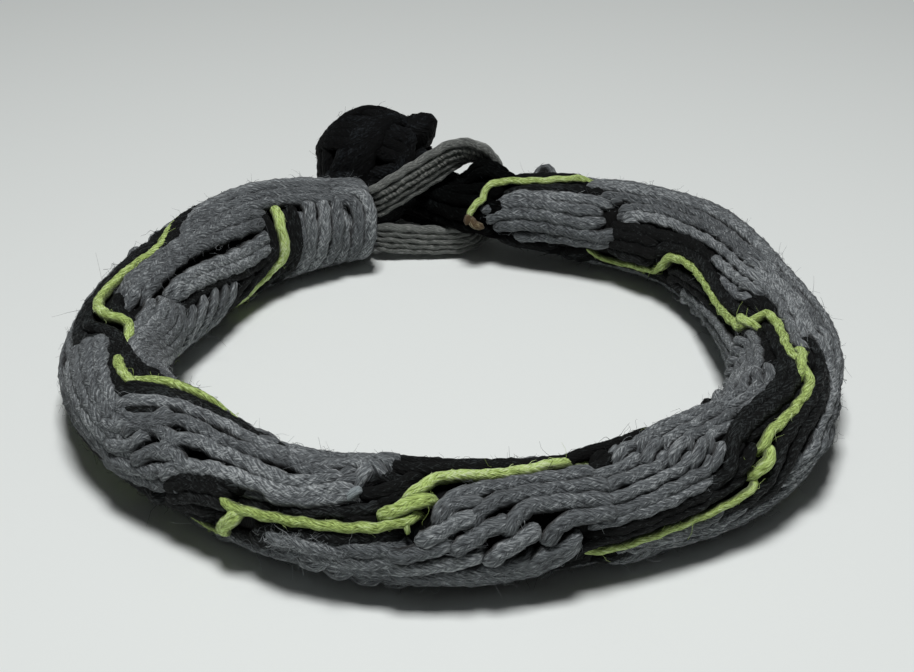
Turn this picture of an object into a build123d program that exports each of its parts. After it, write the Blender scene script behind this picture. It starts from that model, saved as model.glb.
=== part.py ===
"""Woven fabric wristband: a thick round braid of waxed cords, lying in a ring.

The braid is fastened by a knotted cord button pushed through a flat corded loop.
Millimetres, +Z up. The ring lies on Z = 0, centred on its own box, with the closure
at the back (+Y) and the two ends of the braid to either side of it.
"""
from build123d import *
from math import ceil, cos, exp, hypot, pi, radians, sin
import os

os.makedirs("parts", exist_ok=True)

# Driving sizes of the braid
ring_radius = 34.4         # mean radius of the braid's centre line as it lies
band_thickness = 12.4      # thickness of the round braid over its proud cords
groove_depth = 0.42        # how deep the grooves between neighbouring cords are
stripe_sink = 0.35         # how far the dark and lime cords lie below the grey ones
crossing_height = 0.6      # how far the cords stand proud where they twist over each other
crossing_length = 4.4      # length of such a twist along the band
crossing_lean = 0.18       # how far a row of twists runs along the band, for each degree round
rest_press = 0.3           # how far the soft underside is pressed flat by the table
loop_end_bearing = 108.0   # where round the ring the braid's loop end lies, degrees from +X

# Driving sizes of the closure
wrap_length = 3.6          # whipping that binds the braid's loop end
wrap_sink = 0.35           # how much slimmer the whipping is than the braid beside it
wrap_turns = 2
wrap_groove = 0.3
loop_width = 4.2           # flat corded fastening loop
loop_thickness = 1.6
loop_reach = 17.7          # from the whipping to the far end of the loop
loop_rise = 12.4           # height of the loop's crown, measured on its middle line
loop_heading = 22.0        # direction that the loop points in, degrees from +X
loop_ribs = 5
loop_rib_depth = 0.22
neck_thickness = 5.2       # black cords that carry the button
knot_diameter = 14.8       # button knot of wound black cord
knot_relief = 0.3
stub_diameter = 4.3        # blunt cut end of the cord on the knot
stub_proud = 1.7           # how far the stub stands out of the knot
seat_gap = 0.12            # pieces of cord that press on each other stay this far apart

# Mesh densities
cords_in_stripe = 8        # one lime cord and the seven that follow it
stripes_round = 3
station_pitch = 2.75
loop_steps = 2

# Plan of the ring: its radius is the mean radius times one plus these waves.
# Columns: waves in a turn, share of the mean radius, bearing of a crest in degrees.
plan_waves = [
    (1, 0.018, 27.0),
    (2, 0.0425, 4.3),
    (3, 0.007, 53.7),
    (4, 0.0074, 44.4),
    (5, 0.0201, -23.5),
    (6, 0.0039, 19.8),
    (7, 0.0081, -14.5),
]

# Thickness of the braid, and how far its soft ends are lifted off the table.
# Columns: share of its length, share of band_thickness, lift as a share of band_thickness.
girth = [
    (0.00, 0.80, 0.04),
    (0.018, 0.84, 0.03),
    (0.035, 0.92, 0.01),
    (0.07, 1.02, 0.00),
    (0.12, 1.07, 0.00),
    (0.17, 1.065, 0.00),
    (0.22, 1.01, 0.00),
    (0.27, 0.97, 0.00),
    (0.32, 0.98, 0.00),
    (0.37, 0.91, 0.00),
    (0.42, 0.90, 0.00),
    (0.47, 0.97, 0.00),
    (0.52, 0.94, 0.00),
    (0.57, 0.95, 0.00),
    (0.62, 1.025, 0.00),
    (0.67, 1.018, 0.00),
    (0.72, 0.99, 0.00),
    (0.77, 0.991, 0.00),
    (0.82, 0.976, 0.00),
    (0.87, 0.952, 0.02),
    (0.92, 0.915, 0.05),
    (0.96, 0.86, 0.09),
    (0.985, 0.78, 0.12),
    (1.00, 0.64, 0.17),
]

# Paths of the three lime cords, which the other cords run between.
# Columns: share of the length, then the place of each round the section in degrees,
# from 0 on the outer side through 90 on top to 180 on the inner side.
lime_paths = [
    (0.00, -190, -75, 60),
    (0.111, -135, -60, 74),
    (0.209, -155, -55, 70),
    (0.239, -160, -58, 108),
    (0.268, -165, -60, 100),
    (0.317, -165, -62, 82),
    (0.376, -160, -40, 112),
    (0.405, -128, 20, 140),
    (0.464, -75, 36, 190),
    (0.484, -60, 90, 205),
    (0.543, -20, 107, 236),
    (0.621, 10, 132, 264),
    (0.641, 52, 150, 285),
    (0.68, 64, 190, 312),
    (0.70, 96, 214, 330),
    (0.759, 150, 265, 373),
    (0.852, 167, 312, 420),
    (0.886, 208, 322, 428),
    (1.00, 245, 362, 470),
]

# Rows of twists. Each is the share of the length where the row crosses the top.
crossing_rows = [0.11, 0.24, 0.32, 0.43, 0.57, 0.685, 0.82, 0.95]

# Middle line of the fastening loop, from the whipping over the crown and back.
# Columns: share of loop_reach along the heading, share of loop_reach to the outside,
# share of loop_rise upwards, turn of the flat cord about its own line in degrees.
loop_path = [
    (0.025, -0.01, 0.62, 0),
    (0.23, -0.02, 0.755, 0),
    (0.46, -0.015, 0.90, 0),
    (0.63, -0.005, 1.00, 10),
    (0.775, 0.02, 0.975, 35),
    (0.90, 0.05, 0.865, 65),
    (0.977, 0.08, 0.685, 85),
    (1.00, 0.09, 0.50, 90),
    (0.965, 0.07, 0.325, 70),
    (0.86, -0.02, 0.20, 35),
    (0.667, -0.19, 0.17, 5),
    (0.475, -0.17, 0.175, 0),
    (0.277, -0.10, 0.19, 0),
    (0.025, -0.02, 0.23, 0),
]


def read(table, share, column):
    """Value of one column of a table at a share, in straight lines between its rows."""
    for low, high in zip(table, table[1:]):
        if share <= high[0]:
            part_way = (share - low[0]) / (high[0] - low[0])
            return low[column] + (high[column] - low[column]) * max(part_way, 0.0)
    return table[-1][column]


def unit(v):
    """Vector of length one."""
    return v.normalized()


def plan_point(bearing):
    """Point of the centre line at a bearing in degrees, seen from above."""
    wave = sum(share * cos(radians(count * (bearing - crest))) for count, share, crest in plan_waves)
    radius = ring_radius * (1 + wave)
    return radius * cos(radians(bearing)), radius * sin(radians(bearing))


# Centre line: one point for each degree, from the loop end round by the front to where
# the button end comes within the reach of the loop
start = plan_point(loop_end_bearing)
end_spacing = 0.93 * loop_reach
bearings = [loop_end_bearing]
while len(bearings) < 180 or hypot(*(a - b for a, b in zip(plan_point(bearings[-1]), start))) > end_spacing:
    bearings.append(bearings[-1] + 1)
centre_line = [plan_point(bearing) for bearing in bearings]
lengths = [0.0]
for here, there in zip(centre_line, centre_line[1:]):
    lengths.append(lengths[-1] + hypot(there[0] - here[0], there[1] - here[1]))
band_length = lengths[-1]


def band_frame(s):
    """Centre point, outward direction and direction of travel at a length along the band."""
    i = max(k for k in range(len(lengths) - 1) if lengths[k] <= max(s, 0.0))
    step = lengths[i + 1] - lengths[i]
    (x0, y0), (x1, y1) = centre_line[i], centre_line[i + 1]
    (xa, ya), (xb, yb) = centre_line[max(i - 2, 0)], centre_line[min(i + 3, len(centre_line) - 1)]
    way = unit(Vector(xb - xa, yb - ya, 0))
    t = (s - lengths[i]) / step
    return Vector(x0 + (x1 - x0) * t, y0 + (y1 - y0) * t, 0), Vector(way.Y, -way.X, 0), way


def band_half(s):
    """Half of the braid's thickness at a length along it."""
    return read(girth, s / band_length, 1) * band_thickness / 2


def rest_height(s):
    """Height of the braid's middle above the table."""
    return band_half(s) - rest_press + read(girth, s / band_length, 2) * band_thickness


def ring_points(s, angles, radii):
    """Section of the braid: points at these angles and radii, pressed flat on the table."""
    centre, outward, _ = band_frame(s)
    height = rest_height(s)
    points = []
    for angle, radius in zip(angles, radii):
        p = centre + outward * (radius * cos(radians(angle)))
        points.append(Vector(p.X, p.Y, max(height + radius * sin(radians(angle)), 0.0)))
    return points


def crossing(s, angle):
    """Share of the height of a twist at a place on the braid."""
    turned = (angle + 90) % 360 - 180
    total = 0.0
    for row in crossing_rows:
        distance = s - row * band_length + turned * crossing_lean
        total += exp(-(2 * distance / crossing_length) ** 2)
    return min(total, 1.0)


def braid_ring(s):
    """Section of the braid with a ridge for each cord and a groove after it."""
    limes = [read(lime_paths, s / band_length, 1 + k) for k in range(stripes_round)]
    limes.append(limes[0] + 360)
    angles, radii = [], []
    for k in range(stripes_round):
        for j in range(2 * cords_in_stripe):
            share = j / (2 * cords_in_stripe)
            angle = limes[k] + (limes[k + 1] - limes[k]) * share
            dark = share < 0.33 or share > 0.85
            radius = band_half(s) - (groove_depth if j % 2 else 0.0) - (stripe_sink if dark else 0.0)
            angles.append(angle)
            radii.append(radius + crossing_height * crossing(s, angle))
    return ring_points(s, angles, radii)


def skin(rings):
    """Closed faceted solid through rings of equally many points, with a cap on each end."""
    faces = []

    def triangle(a, b, c):
        if (b - a).cross(c - a).length > 1e-7:
            faces.append(Face(Wire.make_polygon([a, b, c], close=True)))

    count = len(rings[0])
    for ring, following in zip(rings, rings[1:]):
        for i in range(count):
            k = (i + 1) % count
            triangle(ring[i], ring[k], following[k])
            triangle(ring[i], following[k], following[i])
    for ring in (rings[0], rings[-1]):
        middle = sum(ring, Vector(0, 0, 0)) / count
        for i in range(count):
            triangle(middle, ring[i], ring[(i + 1) % count])
    solid = Solid(Shell(faces))
    return solid if solid.volume > 0 else Solid(Shell([-face for face in faces]))


def smooth_path(points, steps):
    """Points of a smooth line through hand-set ones, with more points between each pair."""
    line = []
    for i in range(len(points) - 1):
        p0, p1, p2, p3 = (points[min(max(i + k, 0), len(points) - 1)] for k in (-1, 0, 1, 2))
        for j in range(steps):
            t = j / steps
            line.append([
                b + t * (c - a) / 2 + t * t * (a - 2.5 * b + 2 * c - d / 2) + t ** 3 * (-a + 3 * b - 3 * c + d) / 2
                for a, b, c, d in zip(p0, p1, p2, p3)
            ])
    line.append(list(points[-1]))
    return line


# Local frame of the closure: it starts at the loop end and looks along the loop's heading
heading = Vector(cos(radians(loop_heading)), sin(radians(loop_heading)), 0)
outside = Vector(-heading.Y, heading.X, 0)
loop_origin = Vector(start[0], start[1], 0)


def closure_point(along, outwards, up):
    """Point of the closure from its distances along the heading, to the outside and up."""
    return loop_origin + heading * along + outside * outwards + Vector(0, 0, up)


# Rings of the braid, from just past the whipping to the button end
stations = ceil((band_length - wrap_length) / station_pitch)
band_start = wrap_length + seat_gap
band_rings = [
    braid_ring(band_start + (band_length - band_start) * i / stations) for i in range(stations + 1)
]

# Rings of the whipping: rounded turns of cord, each with a groove beside it
wrap_radius = band_half(wrap_length) - wrap_sink
wrap_points = 28
wrap_steps = 5 * wrap_turns
wrap_rings = []
for i in range(wrap_steps + 1):
    s = wrap_length * i / wrap_steps
    bulge = abs(sin(pi * wrap_turns * i / wrap_steps))
    radius = wrap_radius - wrap_groove * (1 - bulge)
    angles = [360 * j / wrap_points for j in range(wrap_points)]
    wrap_rings.append(ring_points(s, angles, [radius] * wrap_points))

# Rings of the fastening loop: a flat section whose two faces carry lengthwise ribs
path = [(a * loop_reach, b * loop_reach, c * loop_rise, turn) for a, b, c, turn in loop_path]
line = smooth_path(path, loop_steps)
places = [closure_point(*row[:3]) for row in line]
loop_rings = []
for i, (place, row) in enumerate(zip(places, line)):
    way = unit(places[min(i + 1, len(places) - 1)] - places[max(i - 1, 0)])
    if i in (0, len(places) - 1):
        way = heading if i == 0 else -heading
    across = unit(outside - way * outside.dot(way))
    upright = across.cross(way)
    turn = radians(row[3])
    wide = upright * cos(turn) + across * sin(turn)
    thin = way.cross(wide)
    section = []
    for side in (1, -1):
        for j in range(2 * loop_ribs - 1):
            share = (j + 1) / (2 * loop_ribs)
            lift = loop_thickness / 2 - (loop_rib_depth if j % 2 else 0.0)
            lift *= 0.72 if j in (0, 2 * loop_ribs - 2) else 1.0
            section.append(place + wide * (side * loop_width * (0.5 - share) * 1.1) + thin * (side * lift))
    loop_rings.append([Vector(p.X, p.Y, max(p.Z, 0.0)) for p in section])

# Button knot: centre of the ball, resting on the table behind the loop and the whipping
knot_radius = knot_diameter / 2
knot_reach = knot_radius + knot_relief + 2 * seat_gap
knot_along = 0.28 * loop_reach
knot_outwards = max(wrap_radius + (knot_reach ** 2 - knot_along ** 2) ** 0.5, loop_thickness / 2 + knot_reach)
knot_centre = closure_point(knot_along, knot_outwards, knot_radius - knot_relief / 2)

# Rings of the neck: from the button end of the braid through the loop to the knot
tip_place, _, tip_way = band_frame(band_length)
neck_root = tip_place + tip_way * seat_gap + Vector(0, 0, rest_height(band_length) + 0.3 * neck_thickness)
neck_middle = closure_point(0.73 * loop_reach, 0.0, 0.65 * loop_rise)
knot_side = unit(neck_middle - knot_centre)
neck_tip = knot_centre + knot_side * knot_reach
neck_pull = 0.6 * neck_thickness
neck_guides = [neck_root, neck_root + tip_way * neck_pull, neck_tip + knot_side * neck_pull, neck_tip]
neck_points = 16
neck_lobes = 4
neck_steps = 8
neck_rings = []
for i in range(neck_steps + 1):
    t = i / neck_steps
    a, b, c, d = neck_guides
    place = a * (1 - t) ** 3 + b * (3 * t * (1 - t) ** 2) + c * (3 * t * t * (1 - t)) + d * t ** 3
    way = unit((b - a) * (1 - t) ** 2 + (c - b) * (2 * t * (1 - t)) + (d - c) * t * t)
    side = unit(way.cross(Vector(0, 0, 1)))
    up = side.cross(way)
    ring = []
    for j in range(neck_points):
        angle = 2 * pi * j / neck_points
        radius = neck_thickness / 2 * (1 + 0.09 * cos(neck_lobes * angle + t * pi))
        ring.append(place + side * (radius * cos(angle)) + up * (radius * sin(angle)))
    neck_rings.append(ring)

# Rings of the knot: a ball of wound cord, rounder lumps where its turns cross
knot_points = 24
knot_steps = 14
knot_lobes = 5
knot_rings = []
for i in range(1, knot_steps):
    latitude = pi * (i / knot_steps - 0.5)
    ring = []
    for j in range(knot_points):
        longitude = 2 * pi * j / knot_points
        lump = cos(knot_lobes * longitude + 4 * latitude) * cos(latitude)
        radius = knot_radius + knot_relief * lump
        p = knot_centre + Vector(cos(latitude) * cos(longitude), cos(latitude) * sin(longitude), sin(latitude)) * radius
        ring.append(Vector(p.X, p.Y, max(p.Z, 0.0)))
    knot_rings.append(ring)

# Shift that puts the origin at the bottom centre of the whole piece
everything = [p for rings in (band_rings, wrap_rings, loop_rings, neck_rings, knot_rings) for ring in rings for p in ring]
middle_x = (min(p.X for p in everything) + max(p.X for p in everything)) / 2
middle_y = (min(p.Y for p in everything) + max(p.Y for p in everything)) / 2
shift = Vector(-middle_x, -middle_y, 0)


def moved(rings):
    """Rings in the frame whose origin is the bottom centre."""
    return [[p + shift for p in ring] for ring in rings]


# The braid
with BuildPart() as woven_band:
    add(skin(moved(band_rings)))
woven_band.part.label = "woven_band"
export_step(woven_band.part, "parts/woven_band.step")

# The whipping on its loop end
with BuildPart() as end_wrap:
    add(skin(moved(wrap_rings)))
end_wrap.part.label = "end_wrap"
export_step(end_wrap.part, "parts/end_wrap.step")

# The flat corded loop
with BuildPart() as fastening_loop:
    add(skin(moved(loop_rings)))
fastening_loop.part.label = "fastening_loop"
export_step(fastening_loop.part, "parts/fastening_loop.step")

# The black cords that carry the button
with BuildPart() as button_neck:
    add(skin(moved(neck_rings)))
button_neck.part.label = "button_neck"
export_step(button_neck.part, "parts/button_neck.step")

# The button knot with the blunt cut end of its cord
stub_way = unit(Vector(0.74, 0.1, 0.62))
stub_plane = Plane(origin=knot_centre + shift, z_dir=stub_way)
stub_length = knot_radius + stub_proud
with BuildPart() as button_knot:
    add(skin(moved(knot_rings)))
    with BuildSketch(stub_plane.offset(knot_radius / 2)):
        Circle(stub_diameter / 2)
    extrude(amount=stub_length - knot_radius / 2)
    stub_rim = button_knot.edges().filter_by(GeomType.CIRCLE).sort_by(lambda e: e.center().dot(stub_way))[-1]
    fillet(stub_rim, 0.22 * stub_diameter)
button_knot.part.label = "button_knot"
export_step(button_knot.part, "parts/button_knot.step")

print(f"band length {band_length:.1f} mm, shift {shift.X:.3f} {shift.Y:.3f}")
print("knot centre", *(round(value, 3) for value in knot_centre + shift))
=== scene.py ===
"""Looks of the woven fabric wristband: a round braid of waxed cords with a knotted button.

A place on the braid has three numbers: its distance along the middle line from the loop end
in millimetres, its turn round the section in degrees (0 outside, 90 on top, 180 inside) and
its lift off the braid's surface in millimetres. Every strand is a line of such places,
smoothed and carried round as a plied tube. Lengths are millimetres until a mesh is made.
"""

import bpy
import numpy as np
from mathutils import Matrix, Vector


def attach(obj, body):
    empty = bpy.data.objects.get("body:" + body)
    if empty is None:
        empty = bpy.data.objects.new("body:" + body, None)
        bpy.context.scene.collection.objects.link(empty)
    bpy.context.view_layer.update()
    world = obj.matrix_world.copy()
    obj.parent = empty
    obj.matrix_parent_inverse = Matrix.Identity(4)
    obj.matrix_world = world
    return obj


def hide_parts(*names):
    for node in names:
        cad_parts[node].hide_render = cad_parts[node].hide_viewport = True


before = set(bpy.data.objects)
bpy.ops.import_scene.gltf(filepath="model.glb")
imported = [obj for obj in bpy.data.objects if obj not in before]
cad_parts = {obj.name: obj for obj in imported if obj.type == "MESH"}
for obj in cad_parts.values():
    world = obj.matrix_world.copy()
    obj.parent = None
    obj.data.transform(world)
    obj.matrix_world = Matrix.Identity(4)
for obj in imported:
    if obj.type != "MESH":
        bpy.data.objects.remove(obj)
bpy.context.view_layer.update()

chance = np.random.default_rng(7)

# Driving sizes, as in the part's source
MILLIMETRE = 0.001
RING_RADIUS = 34.4
BAND_THICKNESS = 12.4
BAND_LENGTH = 201.3
REST_PRESS = 0.3
LOOP_END_BEARING = 108.0
MIDDLE_SHIFT = (0.163, -5.979)
LOOP_REACH = 17.7
LOOP_RISE = 12.4
LOOP_HEADING = 22.0
LOOP_WIDTH = 4.2
LOOP_THICKNESS = 1.6
LOOP_RIBS = 5
NECK_THICKNESS = 5.2
KNOT_DIAMETER = 14.8
KNOT_CENTRE = (-9.546, 37.405, 7.25)
STUB_DIAMETER = 4.3
STUB_PROUD = 1.7
STUB_WAY = (0.74, 0.1, 0.62)

# Plan of the ring: waves in a turn, share of the mean radius, bearing of a crest
PLAN_WAVES = [(1, 0.018, 27), (2, 0.0425, 4.3), (3, 0.007, 53.7), (4, 0.0074, 44.4), (5, 0.0201, -23.5),
              (6, 0.0039, 19.8), (7, 0.0081, -14.5)]

# Share of the length, share of the thickness, lift off the table as a share of the thickness
GIRTH = [(0, 0.8, 0.04), (0.018, 0.84, 0.03), (0.035, 0.92, 0.01), (0.07, 1.02, 0), (0.12, 1.07, 0),
         (0.17, 1.065, 0), (0.22, 1.01, 0), (0.27, 0.97, 0), (0.32, 0.98, 0), (0.37, 0.91, 0),
         (0.42, 0.9, 0), (0.47, 0.97, 0), (0.52, 0.94, 0), (0.57, 0.95, 0), (0.62, 1.025, 0),
         (0.67, 1.018, 0), (0.72, 0.99, 0), (0.77, 0.991, 0), (0.82, 0.976, 0), (0.87, 0.952, 0.02),
         (0.92, 0.915, 0.05), (0.96, 0.86, 0.09), (0.985, 0.78, 0.12), (1, 0.64, 0.17)]

# How far the soft strands stand off the evened surface: charted distance, the turn of the
# outer side that the photo shows, then the lift there and on the opposite side
SOFT_FORM = [(-4, 64, 0.5, -0.5), (2, 64, 0.5, -0.5), (8, 62, 0.3, -0.3), (14, 58, -0.1, 0.15),
             (20, 51, -0.65, 0.3), (26, 47, -0.7, 0), (32, 45, -0.6, -0.4), (38, 37, -0.6, -0.2),
             (44, 16, -0.75, 0), (50, -14, -1.05, 0.3), (56, -33, -0.85, 0.3), (62, -40, -0.5, 0.35),
             (68, -42, -0.5, 0.3), (74, -44, -0.7, 0), (80, -49, -0.85, 0.45), (86, -51, -0.55, 0.7),
             (92, -52, -0.45, 0.35), (98, -51, -0.55, 0.25), (104, -50, -1, 0), (110, -48, -0.65, 0.3),
             (116, -45, -0.2, 0.3), (122, -41, -0.05, -0.45), (128, -31, -0.4, -0.45), (134, -12, -0.85, 0),
             (140, 13, -0.5, 0.4), (146, 29, 0, -0.1), (152, 34, -0.3, -0.25), (158, 38, -0.55, -0.3),
             (164, 46, -0.35, -0.15), (170, 56, 0.1, -0.3), (176, 61, -0.2, -0.4), (182, 64, -0.3, -0.25),
             (194, 65, -0.15, -0.2)]

# Sizes of the strands, with widths and heights as half of the whole
STRAND_HEIGHT = 0.74
STRAND_WIDTH = 0.8         # of a charted strand
GREY_WIDTH = 0.86          # of a charted grey strand
LIME_HEIGHT = 0.62
BED_FILL = 1.04            # the others are this much wider than their share of the stripe,
BED_WIDTHS = (0.58, 0.86)  # within these limits,
WIDTH_RANGE = (0.95, 1.06)  # times a factor out of these
STRAND_DEPTH = 0.80        # how far a strand's middle lies below the braid's surface
CORE_DEPTH = 1.35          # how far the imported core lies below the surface
CORE_INSETS = (0.4, 0.2)   # and inside the braid's loop end and its button end
CORE_STEP = 0.8
CORE_SIDES = 48
UNEVEN = 0.09              # how much a strand swells and thins along its length,
SWELL_SHARES = (0.6, 0.4)  # in two waves of these shares
SWELL_RATES = (1.9, 4.3)   # and these radians in a millimetre
WAVER = 0.08               # how far it wavers to the side
WAVER_RATE = 2.3
PLIES = 3
PLY_PITCH = 3.4            # length of one turn of a strand's own plies
PLY_DEPTH = 0.045
END_TAPER = 1.9            # ends are this many times longer than they are high,
END_BLUNT = 0.06           # and this is the square of the share of thickness left at the tip
RING_PITCH = 0.45
SIDES = 12
AROUND = 5.0               # width that a strand's pattern takes round it
TABLE_GAP = 0.02           # nothing lies lower than this

# Twists, where a strand winds round its bed between two floats
TWIST_TURNS = 2
TWIST_KNOTS = 8            # points in one turn
TWIST_LENGTH = 0.9         # way along the band from the first point to the last
TWIST_RADIUS = 0.74
TWIST_SWING = 1.05         # it swings this far to either side along the band,
SWING_RANGE = (0.85, 1.15)  # times a factor out of these,
TWIST_LEAN = 3.6           # and this many degrees up and down the section
TWIST_SINK = 0.26
TWIST_EASE = 6             # its height grows over a sixth of its way from both ends
TWIST_SPACING = 6.0        # twists of one strand are at least this far apart
TWIST_CLIMB = 0.75         # a twist takes this share of the strand's climb over the nearer float,
TWIST_NEAR = 14            # counted up to this length,
TWIST_HEIGHTS = (14, 44)   # within these degrees,
HEIGHT_RANGE = (0.92, 1.1)  # times a factor out of these

# Floats between the twists
FLOAT_SHORT = 3            # a float up to this length has one inner point, a longer one has four
FLOAT_BOW = 0.08
FLOAT_LIFT = 0.06          # spread of the lifts
FLOAT_TURN = 1.1           # spread of the turns, in degrees

# How strands pass under others and end beside the charted ones
CLEAR_ALONG = 1.1          # a strand dips under a charted cord within this many millimetres
CLEAR_TURN = 9.0           # and this many degrees
CLEAR_DIP = 1.1
SHOWN_LIFT = -0.45         # a charted cord shows where it lies higher than this
ZONE_UNEVEN = 0.9          # the worked-out strands stop this unevenly at a charted zone,
ZONE_DROP = 1.3            # led down by this much
ZONE_EASE = 3.0            # over about this many points
SHORTEST_RUN = 6           # points of the shortest strand that is kept between zones
END_REACH = 0.8            # where a charted strand ends it goes on this far
END_DROP = 1.6             # and down this far

# The flat loop: its ribs, and its lower run, which is drawn in a little
RIB_WIDTH = 0.56           # half width as a share of the ribs' spacing
RIB_FLATTEN = 0.3          # how much thinner the outer ribs are, as a share of their way out
RIB_SHADES = (0.2, 0.8)
LOWER_START = 24           # the lower run starts at this length of the loop's middle line
LOWER_EASE = 8
LOWER_NARROW = 0.16
LOWER_LIFT = 0.35
STITCHED_RIBS = (1, 2)
STITCH_PITCH = 0.62
STITCH_START = 1.5
STITCH_END = 0.5           # as a share of the loop's whole length
STITCH_UNEVEN = 0.06
STITCH_REACH = 0.30        # how far a stitch goes to either side across its rib
STITCH_HEIGHT = 0.80
STITCH_ARCH = 0.22
STITCH_LEAN = 0.16
STITCH_SIZE = (0.12, 0.11)

# The whipping: distance and lift of its turns, and how they sink where strands lie over them
WRAP_ROWS = [(0.75, -0.15), (2.3, 0.05), (3.9, 0.1)]
WRAP_ROUND = (-95, 266, 12.0)
WRAP_WIDTH = 0.84
WRAP_LEAN = 0.004          # millimetres along the band for a degree of turn
COVERED_TURN = 95
COVERED_WIDTH = 62
COVERED_SINK = 0.75

# Cut ends packed on the loop end: radius of a ring, and how many lie on it
END_RINGS = [(0.0, 1), (1.7, 6), (3.3, 12)]
END_SIZE = 0.84
END_INSIDE = 1.5
END_PROUD = 0.25

# The neck: how its middle line leaves the braid and meets the button
NECK_RISE = 0.3            # height over the braid's middle as a share of the neck's thickness
NECK_INSIDE = 1.5
NECK_PULL = 0.6
KNOT_INSIDE = 1.0
CROWN_REACH = 0.73         # the neck meets the button on the side towards this place of the loop
CROWN_RISE = 0.65
NECK_SAG = 0.9
NECK_CORDS = 9
NECK_TWIST = 1.6           # radians from end to end
NECK_EDGE = 0.95           # how far the cords' middles lie inside the neck's surface
NECK_FILLING = 1.2         # radius of the filling
NECK_SPREAD = 1.7          # how far the cords spread where they leave the braid,
NECK_TAPER = 6.5           # over this length,
NECK_WIDEN = 0.2           # and how much wider each gets for it
NECK_SIZE = (0.86, 0.85)
SIDE_SIZE = (0.9, 0.85)

# The lime cord's tail and its burnt end
TAIL_FACING = (0.0, -0.75, 0.65)
TAIL_SIZE = (0.47, 0.42)
TIP_FLATNESS = 0.85

# The button: winds of cord over a ball
KNOT_WINDS = 4
KNOT_TILT = -0.6           # of the axis that the cord is wound round, in radians
WIND_POINTS = 420
WIND_TURNS = 3             # turns round the axis
WIND_WAVES = 5             # swings to and fro along it
WIND_SWING = 1.2           # and how far they go, in radians
WIND_APART = (0.27, 0.16, 0.12)  # from wind to wind: turn, lost swing and phase
WIND_DEPTH = 0.60
WEAVE_DEPTH = 0.20
WEAVE_PHASE = 0.8
WIND_SIZE = (1.0, 0.7)
KNOT_SHOULDER = (-0.72, -0.1, 0.69)  # the ball stands out furthest this way,
KNOT_FULLER = 0.6          # by this much
BALL_DEPTH = 0.25          # how far the dark ball lies below the button's surface
BALL_RINGS = 24
BALL_BLUNT = 0.04          # square of the half width left at the ball's two tips
STUB_EXTRA = 0.8           # how much further than the solid's the stub's rounded end goes
STUB_SIZE = (1.35, 1.25)   # as shares of the stub's radius

# Stray fibres: how many short and long ones, then points in each, shortest, longest and rise
FIBRE_COUNTS = {"grey": (9600, 500), "black": (4400, 260), "lime": (500, 25), "knot": (900, 60)}
SHORT_FIBRES = (4, 0.4, 1.5, 0.6)
LONG_FIBRES = (11, 1.1, 2.5, 0.8)
FRAY_COUNT = 260
FRAY_FIBRES = (8, 0.8, 2.4, 1.0)
FIBRE_RADIUS = 0.028
FIBRE_TAPER = 0.65
FIBRE_RANGE = (0.7, 1.2)   # factors of the radius
FIBRE_SKEW = 2.2           # the higher, the more of them are short
FIBRE_SPREAD = 0.55        # to the sides of the strand's own way
FIBRE_LEAN = (0.1, 1.0)    # out of the strand
FIBRE_BEND = 0.6
FIBRE_FALL = (-0.8, 0.1)
FIBRE_CURL = (0.14, 0.08)  # in the strand's surface and out of it
FIBRE_TURNS = (3, 11)
FIBRE_SHADES = (0.4, 1.0)

# Layers of the fibre pattern: lean in degrees, scale along and across, detail, share of the whole
PLAITED = (-33, 1.15, 4.6, 1.5, 0.34)
FINE = (-24, 2.2, 11.0, 2.0, 0.30)
STRAY = (27, 0.8, 5.5, 2.0, 0.36)
PATTERN_ROUGHNESS = 0.6
PATTERN_LENGTH = 400       # stray fibres take their tone from anywhere in this length of it
PATTERN_COLUMNS = 8        # columns of leaning fibres round a strand
COLUMN_SHIFT = 5.3         # how far the pattern shifts from one to the next
SLOW_SCALE = 260.0
SLOW_DETAIL = 2.0
SLOW_SHARE = 0.6           # of the wandering tone that changes from place to place,
STRAND_SHARE = 0.4         # and of that which changes from strand to strand
MIDDLE_TONES = (0.39, 0.535)  # from the dark colour to the middle one
FLECK_AND_GLINT_TONES = (0.525, 0.64)  # from the middle colour to the light one: the fibres' lighter flecks and painted glints
SHADE_PAINT_FACING = (0.1, 0.72)  # painted shade: from a strand's side, painted darker as if shaded, to its open one
DULLEST = 0.8              # roughness where no wax shows,
WAX = 0.3                  # and how much smoother it gets in the light parts
BUMP_STRENGTH = 0.9
BUMP_DISTANCE = 0.0008
SHEEN_ROUGHNESS = 0.5

# Camera, light and table: places and sizes in metres, turns in degrees, power in watts
SENSOR_WIDTH = 36.0        # millimetres, as is the lens
LENS_LENGTH = 68.77
CAMERA_PLACE = (0.000913, -0.1691, 0.1011)
CAMERA_TURN = 60
LIGHT_PLACE = (0.0, -0.060, 0.360)
LIGHT_AIM = (0.0, -0.020, 0.0)
LIGHT_SIZE = 0.095
LIGHT_POWER = 1.165
SKY_COLOUR = (0.97, 1.0, 0.99, 1)
SKY_STRENGTH = 0.058
TABLE_REACH = 1.5
TABLE_COLOUR = (0.80, 0.83, 0.815, 1)
TABLE_ROUGHNESS = 0.7

# Places in the stripe from one lime cord to the next, with the cord's colour
STRIPE = [(0.0, "lime"), (0.10, "black"), (0.20, "black"), (0.315, "grey"), (0.435, "grey"),
          (0.555, "grey"), (0.675, "grey"), (0.795, "grey"), (0.905, "black")]
SINK = {"lime": 0.05, "black": 0.22, "grey": 0.0}

# Charted distances count from here, in millimetres from the loop end
CHART_START = 4.6
CHART_FIRST = -CHART_START
CHART_LAST = BAND_LENGTH - CHART_START
CHART_STEP = 0.5

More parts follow.
